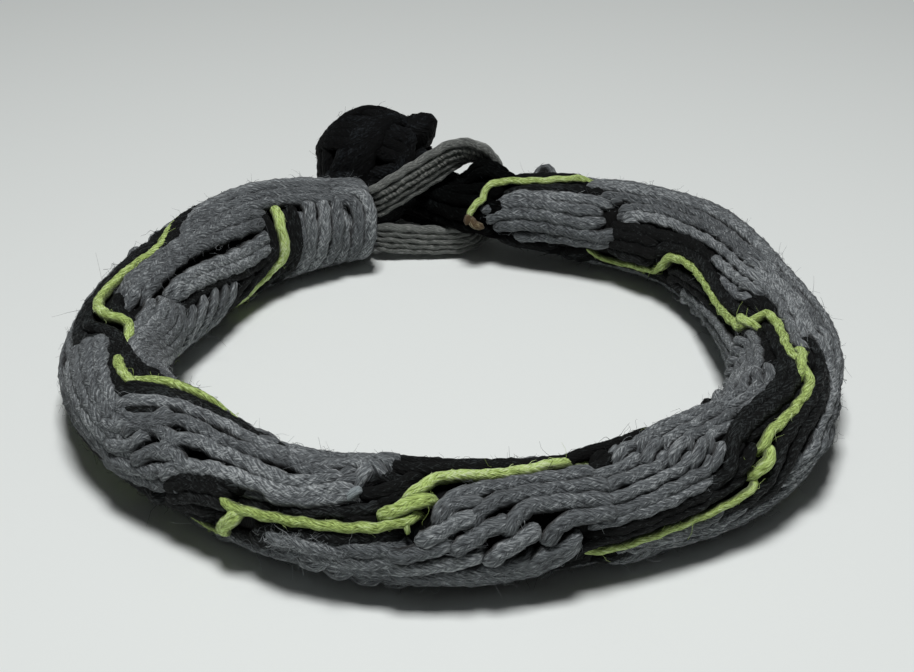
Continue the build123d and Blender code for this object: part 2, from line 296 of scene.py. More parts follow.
# Mean places of the three lime cords: charted distance, then the turn of each
LIME_MEANS = [(-4.6, -190, -75, 60), (23, -150, -62, 78), (42, -158, -58, 92), (59, -163, -60, 91),
              (74.9, -160, -2, 131), (90, -110, 62, 192), (103.4, -38, 104, 228), (108.4, -18, 118, 238),
              (121.5, 31, 141, 266), (134.9, 80, 190, 312), (146.4, 131, 250, 372), (160, 163, 280, 400),
              (167.4, 181, 300, 403), (174.4, 209, 318, 412), (185.4, 225, 338, 443),
              (196.7, 245, 362, 470)]

# Rows of twists, each from the inner underside over the top to the outer underside:
# charted distance and turn
TWIST_ROWS = [
    [(-0.6, 60), (26.4, -90)],
    [(21.4, 55), (48.4, -90)],
    [(9.4, 270), (30, 150), (42, 92), (47, 70), (75.4, -90)],
    [(26.4, 270), (59, 90), (62, 75), (66, 45), (70, 12), (75.5, 2), (92.8, -90)],
    [(48.4, 270), (84, 75), (90, 62), (94, 35), (98, 15), (102, -10), (116.5, -90)],
    [(77.2, 270), (109, 95), (113, 78), (117, 55), (121.5, 30), (127, 15), (146.1, -90)],
    [(100.1, 270), (131, 100), (135, 78), (139, 65), (167.2, -90)],
    [(120.5, 270), (146, 130), (153, 110), (189.4, -90)],
    [(154.4, 270), (170, 185), (177, 158), (181, 125), (196.4, 40)],
    [(183.4, 270), (196, 150)],
]

# The lime cords as they lie: half the width, then charted distance, turn and lift. A cord that
# dives between the others has its last place well below the surface.
LIME_CHART = [
    (0.7, [(8.2, 118, -1.2), (9.2, 126, 0.2), (9.8, 140, 0.8), (10.2, 158, 0.8), (10.2, 175, 0.7),
        (11.5, 190, 0.3), (15, 205, 0.1), (18, 225, 0), (21, 250, -0.4)]),
    (0.64, [(17, 45, 0), (20.5, 62, 0.1), (23.5, 76, 0.15), (28, 88, 0.2), (33, 76, 0.2), (37, 67, 0.2),
        (39.5, 71, 0.35), (41, 79, 0.45), (42.2, 88, 0.2), (43, 97, 0.45), (43.3, 108, 0.35),
        (43.9, 116, 0.25), (46, 115, 0), (48.5, 111, -0.5), (50.5, 106, -1.4)]),
    (0.57, [(49.8, 97, -1.5), (51, 94, -0.2), (53, 89, 0.25), (55, 85, 0.4), (56.2, 85, 0.2),
        (56.9, 94, 0.15), (58.2, 101, 0.3), (59.4, 107, 0.3), (60.6, 114, 0.35), (62.2, 121, 0.35),
        (63.6, 128, 0.2), (65.4, 138, 0.1), (68, 151, 0), (72, 166, -0.2), (80, 185, -0.3), (90, 208, -0.3),
        (98, 225, -0.3)]),
    (0.74, [(56.4, 92, -0.8), (57.4, 97, 0.2), (58.8, 103, 0.5), (60.4, 111, 0.55), (62.2, 119, 0.55),
        (63.8, 127, 0.45), (65.4, 136, 0.1), (66.6, 143, -0.8)]),
    (0.62, [(50.3, 97, -1.2), (51.2, 93, 0), (52.3, 91, 0.35), (53.4, 88, 0.4), (54.6, 86, 0),
        (55.2, 85, -0.8)]),
    (0.76, [(75.4, 25, -0.4), (75, 18, 0.55), (74.4, 9, 0.75), (73.8, -1, 0.7), (73.2, -12, 0.55),
        (72.6, -20, 0.2), (72, -26, -0.5)]),
    (0.34, [(73.4, -10, 0), (72.6, -22, 0.3), (71.4, -32, 0.3), (70.2, -40, 0.2), (68.4, -45, 0),
        (65.5, -52, -0.2), (62, -60, -0.4)]),
    (0.52, [(73.2, 34, -0.9), (73.3, 28, 0.3), (73.9, 23, 0.5), (75.4, 24, 0.5), (78, 27, 0.35),
        (81, 30, 0.2), (84.5, 32, 0.2), (87, 35, 0.3), (88.7, 40, 0.45), (89.8, 45, 0.1),
        (90.4, 50, -1.1)]),
    (0.74, [(87, 42, -1.2), (87.5, 47, 0.3), (89, 53, 0.85), (90.4, 59, 0.75), (91.2, 62, -0.3),
        (91.6, 64, -1.1)]),
    (0.28, [(89.2, 43, 0.2), (89.1, 38, 0.5), (89.3, 32, 0.4), (89.4, 29, -0.1)]),
    (0.62, [(88.9, 56, -1.3), (89.2, 62, 0.1), (90, 70, 0.5), (91.3, 80, 0.55), (92.7, 87, 0.4),
        (95, 90, 0.25), (97.5, 92, 0.2), (100.5, 98, 0.2), (102.8, 103, 0.2), (104.2, 107, 0),
        (105.6, 112, -0.7), (110, 128, -0.9), (118, 140, -0.3), (124, 160, -0.3)]),
    (0.44, [(97, -50, -0.9), (101.5, -32, -1.2), (103.4, -24, -0.8), (105.2, -18, 0), (108, -12, 0.2),
        (113, -4, 0.1), (118, 3, 0.2), (119.3, 7, 0.35), (120.1, 12, 0), (120.5, 16, -1.1)]),
    (0.66, [(119.8, 15, -1.2), (120.4, 21, 0.2), (121.5, 28, 0.7), (122.4, 34, 0.1), (122.8, 38, -1.1)]),
    (0.56, [(121.6, 34, -1.2), (121.9, 40, 0.1), (122.5, 46, 0.45), (124.2, 50, 0.3), (128, 54, 0.2),
        (131, 58, 0.3), (132.4, 66, 0.4), (133.2, 75, 0.4), (134.2, 84, 0.4), (135.4, 93, 0.35),
        (137.4, 99, 0.3), (140.5, 104, 0.3), (143, 108, 0.35), (144.4, 114, 0.4), (144.6, 122, 0.35),
        (144.6, 131, 0.4), (144.9, 140, 0.35), (146.3, 148, 0.3), (149.2, 154, 0.3), (153.4, 158, 0.3),
        (157.9, 157, 0.3), (162.4, 156, 0.3), (166.4, 160, 0.3), (168.6, 166, 0.4), (170, 179, 0.45),
        (171, 189, 0.1), (171.6, 195, -1)]),
    (0.42, [(169.4, 174, -0.9), (170.2, 183, 0.3), (171.9, 196, 0.4), (174.8, 209, 0.3), (178.2, 218, 0.15),
        (182, 222, 0.05), (185, 225, -0.9)]),
    (0.56, [(131.4, 70, -1), (132.3, 74, 0.5), (134.2, 79, 0.8), (135.8, 83, 0.4), (136.4, 88, -1)]),
    (0.54, [(143.6, 127, -1), (144, 132, 0.4), (145.4, 137, 0.75), (146.8, 141, 0.4), (147.4, 147, -1)]),
    (0.5, [(104, 225, -0.3), (116, 255, -0.2), (130, 300, -0.2)]),
    (0.5, [(-4, -75, -0.1), (23, -62, -0.1), (45, -58, -0.1), (60, -62, -0.2)]),
    (0.5, [(24, -151, -0.1), (45, -160, -0.1), (62, -163, -0.1), (75, -160, -0.1)]),
    (0.5, [(160, 280, -0.2), (175, 319, -0.1), (196, 362, -0.1)]),
]

# Other strands that lie over the worked-out ones, and the short cut ends among them
OVER_CHART = [
    ("black", 0.8, [(83, 118, -1), (86, 108, 0), (89.5, 99, 0.1), (93, 104, 0.15), (97, 107, 0.15),
        (101, 112, 0.1), (105, 117, -0.1), (109, 121, -0.5), (112, 126, -1.3)]),
    ("black", 0.8, [(82, 127, -1), (86, 120, 0), (91, 117, 0.1), (96, 119, 0.1), (101, 124, 0),
        (106, 130, -0.2), (110, 136, -0.6), (113, 140, -1.3)]),
    ("black", 0.66, [(102.6, 110, -0.8), (104.2, 109, 0.1), (105.6, 110, 0.35), (107.4, 112, 0.35),
        (109.4, 115, 0.2), (111.4, 118, 0), (113, 121, -0.9)]),
    ("black", 0.74, [(84, 70, -0.9), (86.4, 69, 0), (88, 75, 0), (89.2, 85, 0), (90.4, 93, -0.4)]),
    ("black", 0.76, [(115.5, -9, -0.9), (119, -5, 0), (121.3, 6, 0.1), (122.8, 20, 0.1), (124.2, 33, 0.1),
        (127, 44, 0.1), (131, 50, 0.1), (135, 56, 0.1), (138, 66, 0), (140, 80, -0.3)]),
    ("black", 0.8, [(118.5, -18, -0.9), (121.5, -9, 0), (123.4, 5, 0.1), (124.9, 19, 0.1), (127, 31, 0.05),
        (130.5, 38, 0), (134, 44, -0.1), (138, 54, -0.6)]),
    ("black", 0.8, [(118, 52, -0.9), (120, 60, 0), (123, 67, 0.1), (127, 70, 0.1), (130, 73, 0.05),
        (132.5, 82, 0), (134, 94, 0), (137, 107, 0), (141, 114, -0.1), (144, 121, -0.8)]),
    ("black", 0.78, [(184, 72, -1), (186.5, 75, 0.1), (190, 75, 0.3), (194, 73, 0.3), (197, 73, 0.2),
        (199, 75, -0.5)]),
    ("black", 0.78, [(183.5, 98, -1), (186.5, 107, 0), (190, 112, 0.1), (194, 113, 0.1), (196, 116, 0),
        (197.5, 122, -0.6)]),
    ("grey", 0.8, [(180, 172, -1), (181, 180, 0.1), (183.5, 187, 0.2), (188, 189, 0.2), (191.5, 192, 0.2),
        (193.3, 199, 0.1), (193.8, 206, -0.9)]),
    ("grey", 0.84, [(178.8, 158, -1), (180, 166, 0.2), (182.5, 174, 0.35), (187, 174, 0.3),
        (192, 172, 0.35), (194.8, 175, 0.4), (196.2, 181, 0.2), (196.8, 188, -0.9)]),
    ("grey", 0.84, [(182, 150, -1), (183.5, 158, 0.25), (186.5, 160, 0.3), (190.5, 156, 0.35),
        (195, 155, 0.45), (196.8, 159, 0.4), (197.5, 165, 0.1), (197.9, 172, -0.9)]),
    ("grey", 0.84, [(182.6, 137, -1), (184.2, 142, 0.2), (188, 143, 0.3), (193, 139, 0.4),
        (196.2, 141, 0.45), (197.9, 147, 0.3), (198.4, 154, -0.9)]),
    ("grey", 0.8, [(181, 122, -0.9), (184, 126, 0.1), (190, 127, 0.2), (193.5, 126, 0.3), (195.4, 130, 0.2),
        (196.2, 136, -0.9)]),
    ("grey", 0.95, [(45.9, 86, -1), (47.4, 85, 0.3), (50, 80, 0.45), (53, 70, 0.4), (56, 60, 0.3),
        (59, 54, 0.1), (61, 55, -0.7)]),
    ("grey", 1, [(45.8, 72, -1), (47, 71, 0.35), (49.8, 67, 0.5), (53, 57, 0.45), (56.5, 47, 0.3),
        (60, 41, 0.1), (62, 42, -0.7)]),
    ("grey", 1, [(45.8, 58, -1), (47, 57, 0.3), (50, 52, 0.45), (53.5, 43, 0.4), (57.5, 34, 0.2),
        (61.5, 27, 0), (63.5, 27, -0.7)]),
    ("grey", 1, [(46.2, 44, -1), (47.4, 43, 0.2), (50.5, 37, 0.35), (54.5, 28, 0.25), (59, 19, 0.1),
        (63, 11, -0.3)]),
    ("grey", 0.95, [(47.4, 31, -1), (48.8, 29, 0.1), (52, 21, 0.2), (56, 12, 0.1), (60.5, 3, 0),
        (64.5, -4, -0.4)]),
    ("grey", 0.9, [(49.6, 17, -1), (51.2, 14, 0), (54.5, 5, 0.1), (58.5, -5, 0), (63, -13, -0.3)]),
    ("grey", 0.8, [(189.6, 65, -0.6), (190.4, 64, 0.6), (191.2, 63, 1.5), (192, 63, 0.6),
        (192.6, 64, -0.6)]),
    ("black", 0.76, [(115.4, 24, -0.9), (117.2, 32, 0), (118.3, 42, 0.05), (119.2, 56, 0.1),
        (120.6, 67, 0.1), (123.4, 77, 0.1), (127, 81, 0.1), (130, 85, 0.05), (132.4, 94, 0),
        (134.6, 104, -0.8)]),
    ("black", 0.8, [(172.4, 173, -0.9), (171.4, 165, 0.1), (169.6, 155, 0.2), (166.6, 149, 0.2),
        (162.4, 145, 0.2), (158, 146, 0.2), (153.4, 147, 0.15), (150, 143, 0.15), (147.4, 135, 0.1),
        (146.4, 127, -0.8)]),
    ("black", 0.84, [(176.6, 157, -0.9), (175, 153, 0.1), (172.5, 149, 0.2), (170, 145, 0.2),
        (167, 139, 0.2), (163.5, 136, 0.1), (160, 136, -0.8)]),
    ("black", 0.84, [(182, 170, -0.9), (180.2, 166, 0.1), (177.5, 162, 0.35), (175, 160, 0.35),
        (172.8, 158, 0.2), (171.4, 155, -0.8)]),
    ("black", 0.84, [(182, 182, -0.9), (179.5, 178, 0.2), (177, 175, 0.45), (174.5, 174, 0.45),
        (172.3, 171, 0.3), (171, 168, -0.8)]),
    ("black", 0.84, [(181.5, 196, -0.9), (179, 192, 0.2), (176.5, 189, 0.45), (174.3, 187, 0.4),
        (172.8, 184, -0.8)]),
    ("black", 0.84, [(181, 158, -0.9), (179.2, 156, 0.1), (177, 153, 0.3), (175, 150, 0.2),
        (173.4, 147, -0.8)]),
    ("grey", 0.8, [(185, 68, -0.9), (183, 69, 0.1), (178, 68, 0.2), (172.6, 62, 0.2), (168.8, 55, 0.2),
        (164, 47, 0.2), (158, 43, 0.2), (152, 39, 0.2), (148, 33, 0.2), (144, 23, 0.2), (140, 12, 0.1),
        (136, 2, -0.8)]),
    ("grey", 0.8, [(186, 82, -0.9), (184, 82, 0.1), (178, 81, 0.2), (172.6, 76, 0.2), (168.8, 69, 0.2),
        (164, 61, 0.2), (158, 57, 0.2), (152, 53, 0.2), (148, 47, 0.2), (144, 37, 0.2), (140, 26, 0.1),
        (136.5, 17, -0.8)]),
    ("grey", 0.8, [(186, 95, -0.9), (184, 95, 0.1), (178, 94, 0.2), (172.6, 89, 0.2), (168.8, 82, 0.2),
        (164, 74, 0.2), (158, 70, 0.1), (154, 67, -0.8)]),
]

# Strands read off the two rows of twists at the front: kind, half width, level and places
# of charted distance and turn. Both ends are led down into the braid.
FRONT_CHART = [
    ("black", 0.78, 0.1, [(56.4, 66), (58.2, 78), (59.8, 88), (61.5, 97), (63.5, 104), (66, 110),
        (68.5, 115), (71, 117), (73.5, 116), (75.5, 113)]),
    ("black", 0.78, 0, [(56.8, 80), (58.2, 90), (60, 99), (62, 108), (64, 116), (66, 122), (68.5, 126),
        (71, 126), (73.5, 123)]),
    ("grey", 0.84, 0.4, [(58.4, 58), (58.8, 65), (59.8, 72), (61.6, 82), (63.6, 91), (66.2, 96),
        (68.8, 101), (71.8, 101), (74.2, 101), (76.5, 100), (78.5, 102)]),
    ("grey", 0.75, 0.25, [(59.6, 50), (61, 55), (62.4, 66), (62.9, 76)]),
    ("grey", 0.82, 0.45, [(60.8, 40), (61.4, 50), (63, 58), (65, 57), (66.2, 54)]),
    ("grey", 0.84, 0.45, [(63.2, 59), (64, 70), (65.8, 79), (68.4, 80), (70.8, 81), (73, 85), (76, 88),
        (77.6, 88), (80.4, 83), (81.8, 82)]),
    ("grey", 0.84, 0.45, [(65.5, 43), (65.8, 53), (67, 63), (68.8, 69), (70.6, 68), (72.8, 70), (75.2, 69),
        (77.4, 67), (78.9, 66), (80.4, 71), (81.8, 76), (82.6, 80)]),
    ("grey", 0.84, 0.5, [(62.8, 20), (63.8, 31), (65.4, 41), (67.4, 43), (68.4, 41)]),
    ("grey", 0.77, 0.3, [(57.5, 35), (59.2, 38), (60.4, 48)]),
    ("grey", 0.82, 0.35, [(58.8, 17), (61, 27), (62, 36), (62.5, 44)]),
    ("grey", 0.84, 0.35, [(58.6, 1), (62.6, 10), (64.6, 17), (66.4, 27), (67.6, 37)]),
    ("grey", 0.84, 0.35, [(66.4, 22), (67.6, 35), (69.6, 45), (72.4, 52), (75.2, 54), (77.6, 55),
        (79.6, 57), (81.4, 62), (82.8, 67), (84, 67)]),
    ("grey", 0.7, 0.2, [(77.6, 48), (79.5, 50), (81.4, 54), (83.2, 59), (84.3, 63)]),
    ("grey", 0.89, 0.25, [(72.6, 112), (74.6, 118), (76.8, 123), (79.4, 125), (82.4, 124), (85, 121),
        (87.4, 119)]),
    ("grey", 0.77, 0.4, [(76.2, 108), (77.2, 98), (78.8, 94), (79.8, 101)]),
    ("grey", 0.84, 0.3, [(77.6, 113), (80, 114), (82.6, 113), (85.2, 109), (87, 104)]),
    ("grey", 0.77, 0.4, [(81, 86), (82, 97), (83.8, 99), (85.2, 92), (84.8, 82)]),
    ("grey", 0.77, 0.2, [(79.8, 92), (81.6, 104), (84, 104), (86.2, 96)]),
    ("grey", 0.87, 0.1, [(57.5, -14), (61, -7), (64.5, 2), (66.8, 11), (68.2, 20)]),
    ("black", 0.78, 0.1, [(66.9, 24), (68.4, 30), (70.2, 37), (72.2, 42), (74, 45)]),
    ("black", 0.78, 0.25, [(67, 10), (68, 18), (69.6, 27), (71.4, 32), (73.2, 35)]),
    ("black", 0.78, 0.2, [(67.2, -4), (68.2, 4), (69.8, 13), (71.6, 19), (73.4, 22)]),
    ("black", 0.78, 0.05, [(66.4, -16), (68, -10), (70, -2), (71.6, 4)]),
    ("grey", 0.82, 0.35, [(91.8, 42), (92, 51), (92.4, 58), (93.2, 64), (94.4, 69), (96.4, 73), (98.4, 76),
        (100.6, 78), (103, 78), (105, 79)]),
    ("grey", 0.7, 0.55, [(92.2, 46), (92.7, 53), (93.7, 58), (94.7, 58)]),
    ("grey", 0.87, 0.6, [(90.7, 24), (91.8, 32), (93, 39), (94.2, 44)]),
    ("grey", 0.84, 0.4, [(94.6, 39), (95, 48), (95.8, 55), (97, 60), (98.6, 64), (100.4, 65), (102, 64),
        (103.8, 63), (105.8, 61)]),
    ("grey", 0.87, 0.6, [(93.3, 17), (94.4, 26), (95.4, 32), (96.6, 37)]),
    ("grey", 0.84, 0.45, [(97.5, 32), (97.8, 40), (98.5, 47), (99.5, 51), (100.8, 52), (102.4, 51),
        (103.8, 49), (105.6, 46)]),
    ("grey", 0.91, 0.6, [(95.9, 4), (97, 14), (98, 20), (99.1, 26)]),
    ("grey", 0.73, 0.3, [(96.6, -13), (97.6, -7), (98.6, -3)]),
    ("grey", 0.82, 0.45, [(100.7, 18), (101.1, 26), (101.8, 32), (103, 35), (104.4, 35), (105.8, 34)]),
    ("grey", 0.84, 0.4, [(98.9, -10), (100.1, 0), (101.3, 5), (102.6, 11)]),
    ("grey", 0.84, 0.3, [(88.4, 7), (90, 10), (91, 14), (92.3, 20)]),
    ("grey", 0.84, 0.3, [(88.4, -10), (90, -8), (91.4, -4), (93, 0), (94.6, 6)]),
    ("grey", 0.87, 0.2, [(88.4, -26), (90, -25), (92, -22), (93.8, -19), (95.6, -14), (97, -9)]),
    ("grey", 0.87, 0.1, [(94, -46), (96.6, -44), (98.8, -38), (100.4, -26), (101.7, -10), (102.7, 2)]),
    ("grey", 0.87, 0.1, [(92.5, -34), (95, -32), (97.2, -28), (99, -22), (100.4, -12)]),
]

# Strands read off the loop end and the braid's left side: kind, then distance, turn, lift
END_CHART = [
    ("grey", [(0.2, 118, -1), (0.2, 126, 0.35), (0.4, 145, 0.65), (0.9, 175, 0.5), (1.9, 210, 0.3),
        (3.2, 255, -0.1)]),
    ("grey", [(2.1, 118, -1), (2.1, 126, 0.4), (2.4, 145, 0.75), (3, 175, 0.55), (4, 210, 0.35),
        (5.2, 255, -0.1)]),
    ("grey", [(4.3, 119, -1), (4.3, 127, 0.5), (4.6, 145, 0.8), (5, 175, 0.5), (6, 210, 0.3),
        (7.2, 255, -0.1)]),
    ("grey", [(5.8, 132, -1), (5.9, 140, 0), (6.1, 158, 0.1), (6.6, 180, 0.1), (7.6, 215, 0)]),
    ("black", [(6.6, 121, -1), (6.8, 130, 0.1), (7, 155, 0.2), (7.4, 185, 0.2), (9, 215, 0.1),
        (11, 250, -0.2)]),
    ("black", [(8.2, 124, -1), (8.3, 135, 0), (8.3, 160, 0.1), (8.9, 185, 0.1), (12, 213, 0),
        (15, 245, -0.3)]),
    ("black", [(11.4, 124, -1), (11.6, 134, 0.1), (11.8, 155, 0.15), (12, 172, 0.15), (14, 186, 0.15),
        (18, 200, 0.1), (22, 222, -0.2)]),
    ("black", [(12.3, 160, -0.6), (13.2, 174, 0), (16.5, 179, 0), (20.5, 176, 0), (24, 168, -0.1),
        (27.5, 161, -0.15), (31, 158, -0.2), (33.5, 160, -0.2), (35, 168, -0.2), (36, 184, 0),
        (38, 196, 0.1), (41, 192, 0.1), (46, 173, 0), (52, 153, -0.1), (57, 140, -0.2), (62, 134, -0.5)]),
    ("black", [(16.5, 190, -0.2), (20, 189, 0), (21.6, 200, 0), (23.5, 218, -0.1), (26, 240, -0.3)]),
    ("grey", [(-2, 117, 0), (5, 116, 0.25), (11, 115, 0.3), (17, 114, 0.2), (23, 112, 0.15),
        (29, 106, 0.15), (34, 101, 0.1), (37.5, 99, 0), (39.5, 99, -1.2)]),
    ("grey", [(-2, 104, 0), (6, 104, 0.2), (14, 102, 0.2), (20, 101, 0.2), (25, 103, 0.1), (30, 98, 0.15),
        (35, 91, 0.1), (38, 90, -1.1)]),
    ("grey", [(-2, 91, 0), (6, 91, 0.2), (13, 89, 0.2), (18, 88, 0.15), (22.5, 91, 0), (25.5, 96, -0.5),
        (28, 98, -1.2)]),
    ("grey", [(-2, 78, 0), (6, 78, 0.1), (12, 76, 0.1), (17, 75, 0.1), (20, 79, -0.4), (22, 82, -1.2)]),
    ("grey", [(-2, 65, 0), (6, 65, 0.05), (12, 63, 0), (16, 62, -0.2), (18.5, 66, -1.1)]),
    ("black", [(13, 46, -0.3), (17.5, 60, 0.05), (20.5, 73, 0.1), (24.5, 92, 0.1), (27, 99, 0),
        (30, 97, -0.4), (33, 92, -1)]),
    ("black", [(16, 46, -0.2), (20, 63, 0), (23, 80, 0), (26.5, 93, 0), (29.5, 92, -0.3), (33, 87, -0.5),
        (37, 80, -0.5)]),
    ("black", [(19, 36, -0.2), (23, 55, 0), (27.5, 73, 0), (31.5, 66, 0), (36.5, 54, 0), (39.5, 56, 0),
        (43, 68, 0), (44.5, 84, 0), (45.5, 97, 0), (47, 104, 0), (50, 107, 0.05), (55, 108, 0.05),
        (58.5, 112, 0), (62, 121, -0.1), (68, 124, -0.2)]),
    ("black", [(22, 30, -0.2), (27, 52, 0), (31, 54, 0), (36, 42, 0), (40, 44, 0), (44, 56, 0), (46, 72, 0),
        (47, 88, 0), (48.8, 98, 0), (52, 99, 0), (55.5, 97, 0), (57.5, 101, 0), (60.5, 111, -0.2),
        (64, 120, -0.3)]),
    ("black", [(36, 96, -1), (38.5, 92, -0.1), (40.5, 96, 0.05), (42, 106, 0.05), (43, 118, 0),
        (45.5, 124, -0.3), (49, 122, -0.8)]),
    ("black", [(43, 52, -0.3), (46.5, 62, 0), (47.6, 78, 0), (49.5, 88, 0), (52, 84, 0), (54.5, 76, 0.05),
        (57, 69, 0.05), (59, 70, 0.05), (60.5, 82, 0), (62.5, 92, 0), (66, 100, 0), (70, 101, -0.1)]),
    ("black", [(53, 74, -0.8), (55.5, 65, 0), (57.5, 58, 0.05), (59.5, 60, 0), (61.5, 74, -0.2),
        (63.5, 86, -0.4)]),
    ("grey", [(12.4, 166, -1.2), (13.6, 166, 0.1), (17, 168, 0.3), (21, 165, 0.35), (25, 157, 0.35),
        (29, 149, 0.35), (32, 144, 0.3), (33.4, 143, -0.3), (34.2, 142, -1.2)]),
    ("grey", [(12, 153, -1.1), (13.1, 154, 0.1), (17, 157, 0.25), (21.5, 154, 0.3), (25.5, 146, 0.3),
        (29.5, 139, 0.35), (32.5, 136, 0.2), (34, 136, -1)]),
    ("grey", [(11.8, 138, -1), (12.8, 137, 0.15), (17, 135, 0.25), (21.5, 129, 0.3), (26, 121, 0.3),
        (30, 118, 0.3), (35, 116, 0.2), (37.8, 117, -0.9)]),
    ("grey", [(10.6, 125, -0.9), (12.4, 124, 0.15), (17, 121, 0.3), (23, 115, 0.25), (29, 109, 0.2),
        (33, 106, 0.2), (37, 105, 0.2), (39.8, 106, -0.9)]),
    ("grey", [(21.6, 174, -1), (22.6, 183, 0.1), (24.4, 200, 0.25), (26.5, 220, 0.1), (29, 245, -0.2)]),
    ("grey", [(23.6, 170, -1), (24.7, 179, 0.15), (26.7, 197, 0.3), (28.9, 216, 0.15), (31.5, 240, -0.2)]),
    ("grey", [(25.9, 165, -1), (27, 174, 0.15), (29, 192, 0.3), (31.2, 210, 0.15), (34, 234, -0.2)]),
    ("grey", [(28.5, 162, -1), (29.5, 170, 0.15), (31.3, 186, 0.25), (33.2, 203, 0.1), (36, 226, -0.3)]),
    ("grey", [(31, 162, -1), (31.8, 168, 0.05), (33, 180, 0.1), (34.2, 192, -0.2)]),
    ("grey", [(33.6, 168, -1), (35.2, 175, 0.2), (37.6, 184, 0.35), (41, 181, 0.3), (46, 165, 0.15),
        (51, 148, 0), (56, 134, -0.1), (60, 128, -0.6)]),
    ("grey", [(33.4, 159, -1), (34.8, 166, 0.35), (37.5, 174, 0.5), (41.5, 170, 0.4), (46.5, 154, 0.2),
        (51.5, 138, 0.05), (56, 126, -0.1), (60, 122, -0.6)]),
    ("grey", [(33.4, 152, -1), (34.8, 157, 0.4), (37.8, 163, 0.55), (42, 158, 0.45), (47, 143, 0.2),
        (52, 128, 0.05), (56.5, 119, -0.2)]),
    ("grey", [(34.2, 143, -1), (35.6, 148, 0.4), (38.5, 152, 0.55), (42.5, 146, 0.45), (47.5, 131, 0.2),
        (52, 119, 0), (55, 115, -0.6)]),
    ("grey", [(34.8, 133, -1), (36.4, 138, 0.35), (39.5, 140, 0.5), (43.5, 133, 0.35), (48, 121, 0.1),
        (51, 114, -0.5)]),
    ("grey", [(36.6, 124, -1), (38, 128, 0.25), (40.5, 129, 0.35), (43.8, 124, 0.15), (46.5, 119, -0.6)]),
]

# Strands that run along the top of the loop end and bend down over the whipping
WRAP_CHART = [
    [(1, 118, 0.1), (-0.6, 119, 0.3), (-1.9, 124, 0.45), (-2.5, 136, 0.5), (-2.4, 160, 0.45),
     (-1.9, 190, 0.4), (-1.2, 225, 0.2), (-0.8, 250, -0.4)],
    [(1, 106, 0.1), (-1.4, 106, 0.35), (-3.2, 112, 0.5), (-4, 126, 0.55), (-4.1, 150, 0.5),
     (-3.7, 185, 0.4), (-3, 222, 0.2), (-2.6, 250, -0.4)],
    [(1, 93, 0.1), (-1.6, 93, 0.2), (-3.6, 95, 0.25), (-4.4, 101, -0.5)],
    [(1, 80, 0.1), (-1.6, 80, 0.15), (-3.6, 80, 0.15), (-4.4, 80, -0.5)],
    [(1, 67, 0), (-1.6, 67, 0.1), (-3.6, 67, 0.1), (-4.4, 67, -0.5)],
    [(1, 54, 0), (-1.6, 54, 0.05), (-3.6, 54, 0), (-4.4, 54, -0.6)],
]

# Stretches where every strand is charted: distances from and to, turns from and to
CHARTED_ZONES = [(-5, 55, 50, 235), (46.5, 60, 8, 52), (181, 205, 119, 222), (57.5, 83, 47, 128),
                 (57.5, 71.5, -16, 48), (91, 103.5, -30, 82)]

# Middle line of the fastening loop: share of its reach along the heading, share of the
# reach to the outside, share of its rise, turn of the flat cord
LOOP_PATH = [(0.025, -0.01, 0.62, 0), (0.23, -0.02, 0.755, 0), (0.46, -0.015, 0.9, 0),
             (0.63, -0.005, 1, 10), (0.775, 0.02, 0.975, 35), (0.9, 0.05, 0.865, 65),
             (0.977, 0.08, 0.685, 85), (1, 0.09, 0.5, 90), (0.965, 0.07, 0.325, 70), (0.86, -0.02, 0.2, 35),
             (0.667, -0.19, 0.17, 5), (0.475, -0.17, 0.175, 0), (0.277, -0.1, 0.19, 0),
             (0.025, -0.02, 0.23, 0)]

# Black cords that leave the braid beside the neck and join it, in millimetres of the frame. The last three
# lie low and fill the hollow under the neck: black cords, partly put there as painted shade
SIDE_CORDS = [
    [(6, 24.2, 8.4), (4.2, 24.4, 8.5), (2.2, 25, 8.2), (-0.3, 26.8, 7.8), (-3.5, 30, 7.4)],
    [(6, 23.8, 6.9), (4.2, 23.8, 6.8), (1.8, 24.4, 6.6), (-1, 26.6, 6.4), (-4, 30.2, 6.3)],
    [(6, 23.8, 5.2), (4, 23.9, 5.1), (1.8, 24.6, 5.1), (-1.2, 27, 5.1), (-5, 31, 5.1)],
    [(6.5, 24.8, 9.7), (4.6, 25, 9.8), (2.6, 25.8, 9.2), (-0.6, 28.2, 7.9), (-4, 31.5, 7.4)],
    [(8.5, 25.4, 10.6), (5.9, 26.2, 11), (4.3, 27, 11.1), (2.9, 28, 9.6), (1.5, 29.2, 7.6), (-1, 31, 6.6)],
    [(7.5, 27.5, 10.4), (5.6, 28.2, 11), (4, 29.2, 11), (2.4, 30.2, 9.1), (0.8, 31.4, 7.2)],
    [(7.5, 24.2, 4.4), (4.5, 24.6, 4.5), (1, 27.2, 4.9), (-4, 31, 4.6), (-8, 34.5, 4.6)],
    [(4.4, 27.8, 4.2), (0.5, 29.3, 4), (-4, 32, 3.5), (-8, 34.8, 3.8)],
    [(3.6, 29, 2.6), (0, 30.6, 2.4), (-4, 33, 2), (-8, 35.6, 2.4)],
]

# The lime cord's last stretch at the button end, and the beads of its burnt end
LIME_TAIL = [(18.4, 25.4, 9.6), (17.4, 25.4, 10.5), (15.6, 25.4, 11), (13, 25.3, 10.9), (10.6, 25.2, 10.8),
             (8.4, 25, 10.9), (6.3, 24.8, 10.9), (5, 24.4, 10.6), (4.1, 23.9, 9.8), (4.1, 23.5, 9.2),
             (3.2, 23.1, 8.6), (2.5, 22.8, 7.8), (2.4, 22.6, 6.9)]
BURNT_TIPS = [
    (0.48, [(2.5, 22.6, 7.7), (2.3, 22.4, 7.1), (2, 22.3, 6.6), (1.9, 22.5, 6.3)]),
    (0.5, [(2.6, 22.6, 7.3), (2.8, 22.3, 6.7), (3.4, 22.3, 6.2), (4.2, 22.6, 5.6)]),
    (0.34, [(2.3, 22.4, 6.9), (2.9, 22.2, 6.3), (3.5, 22.4, 5.7)]),
]

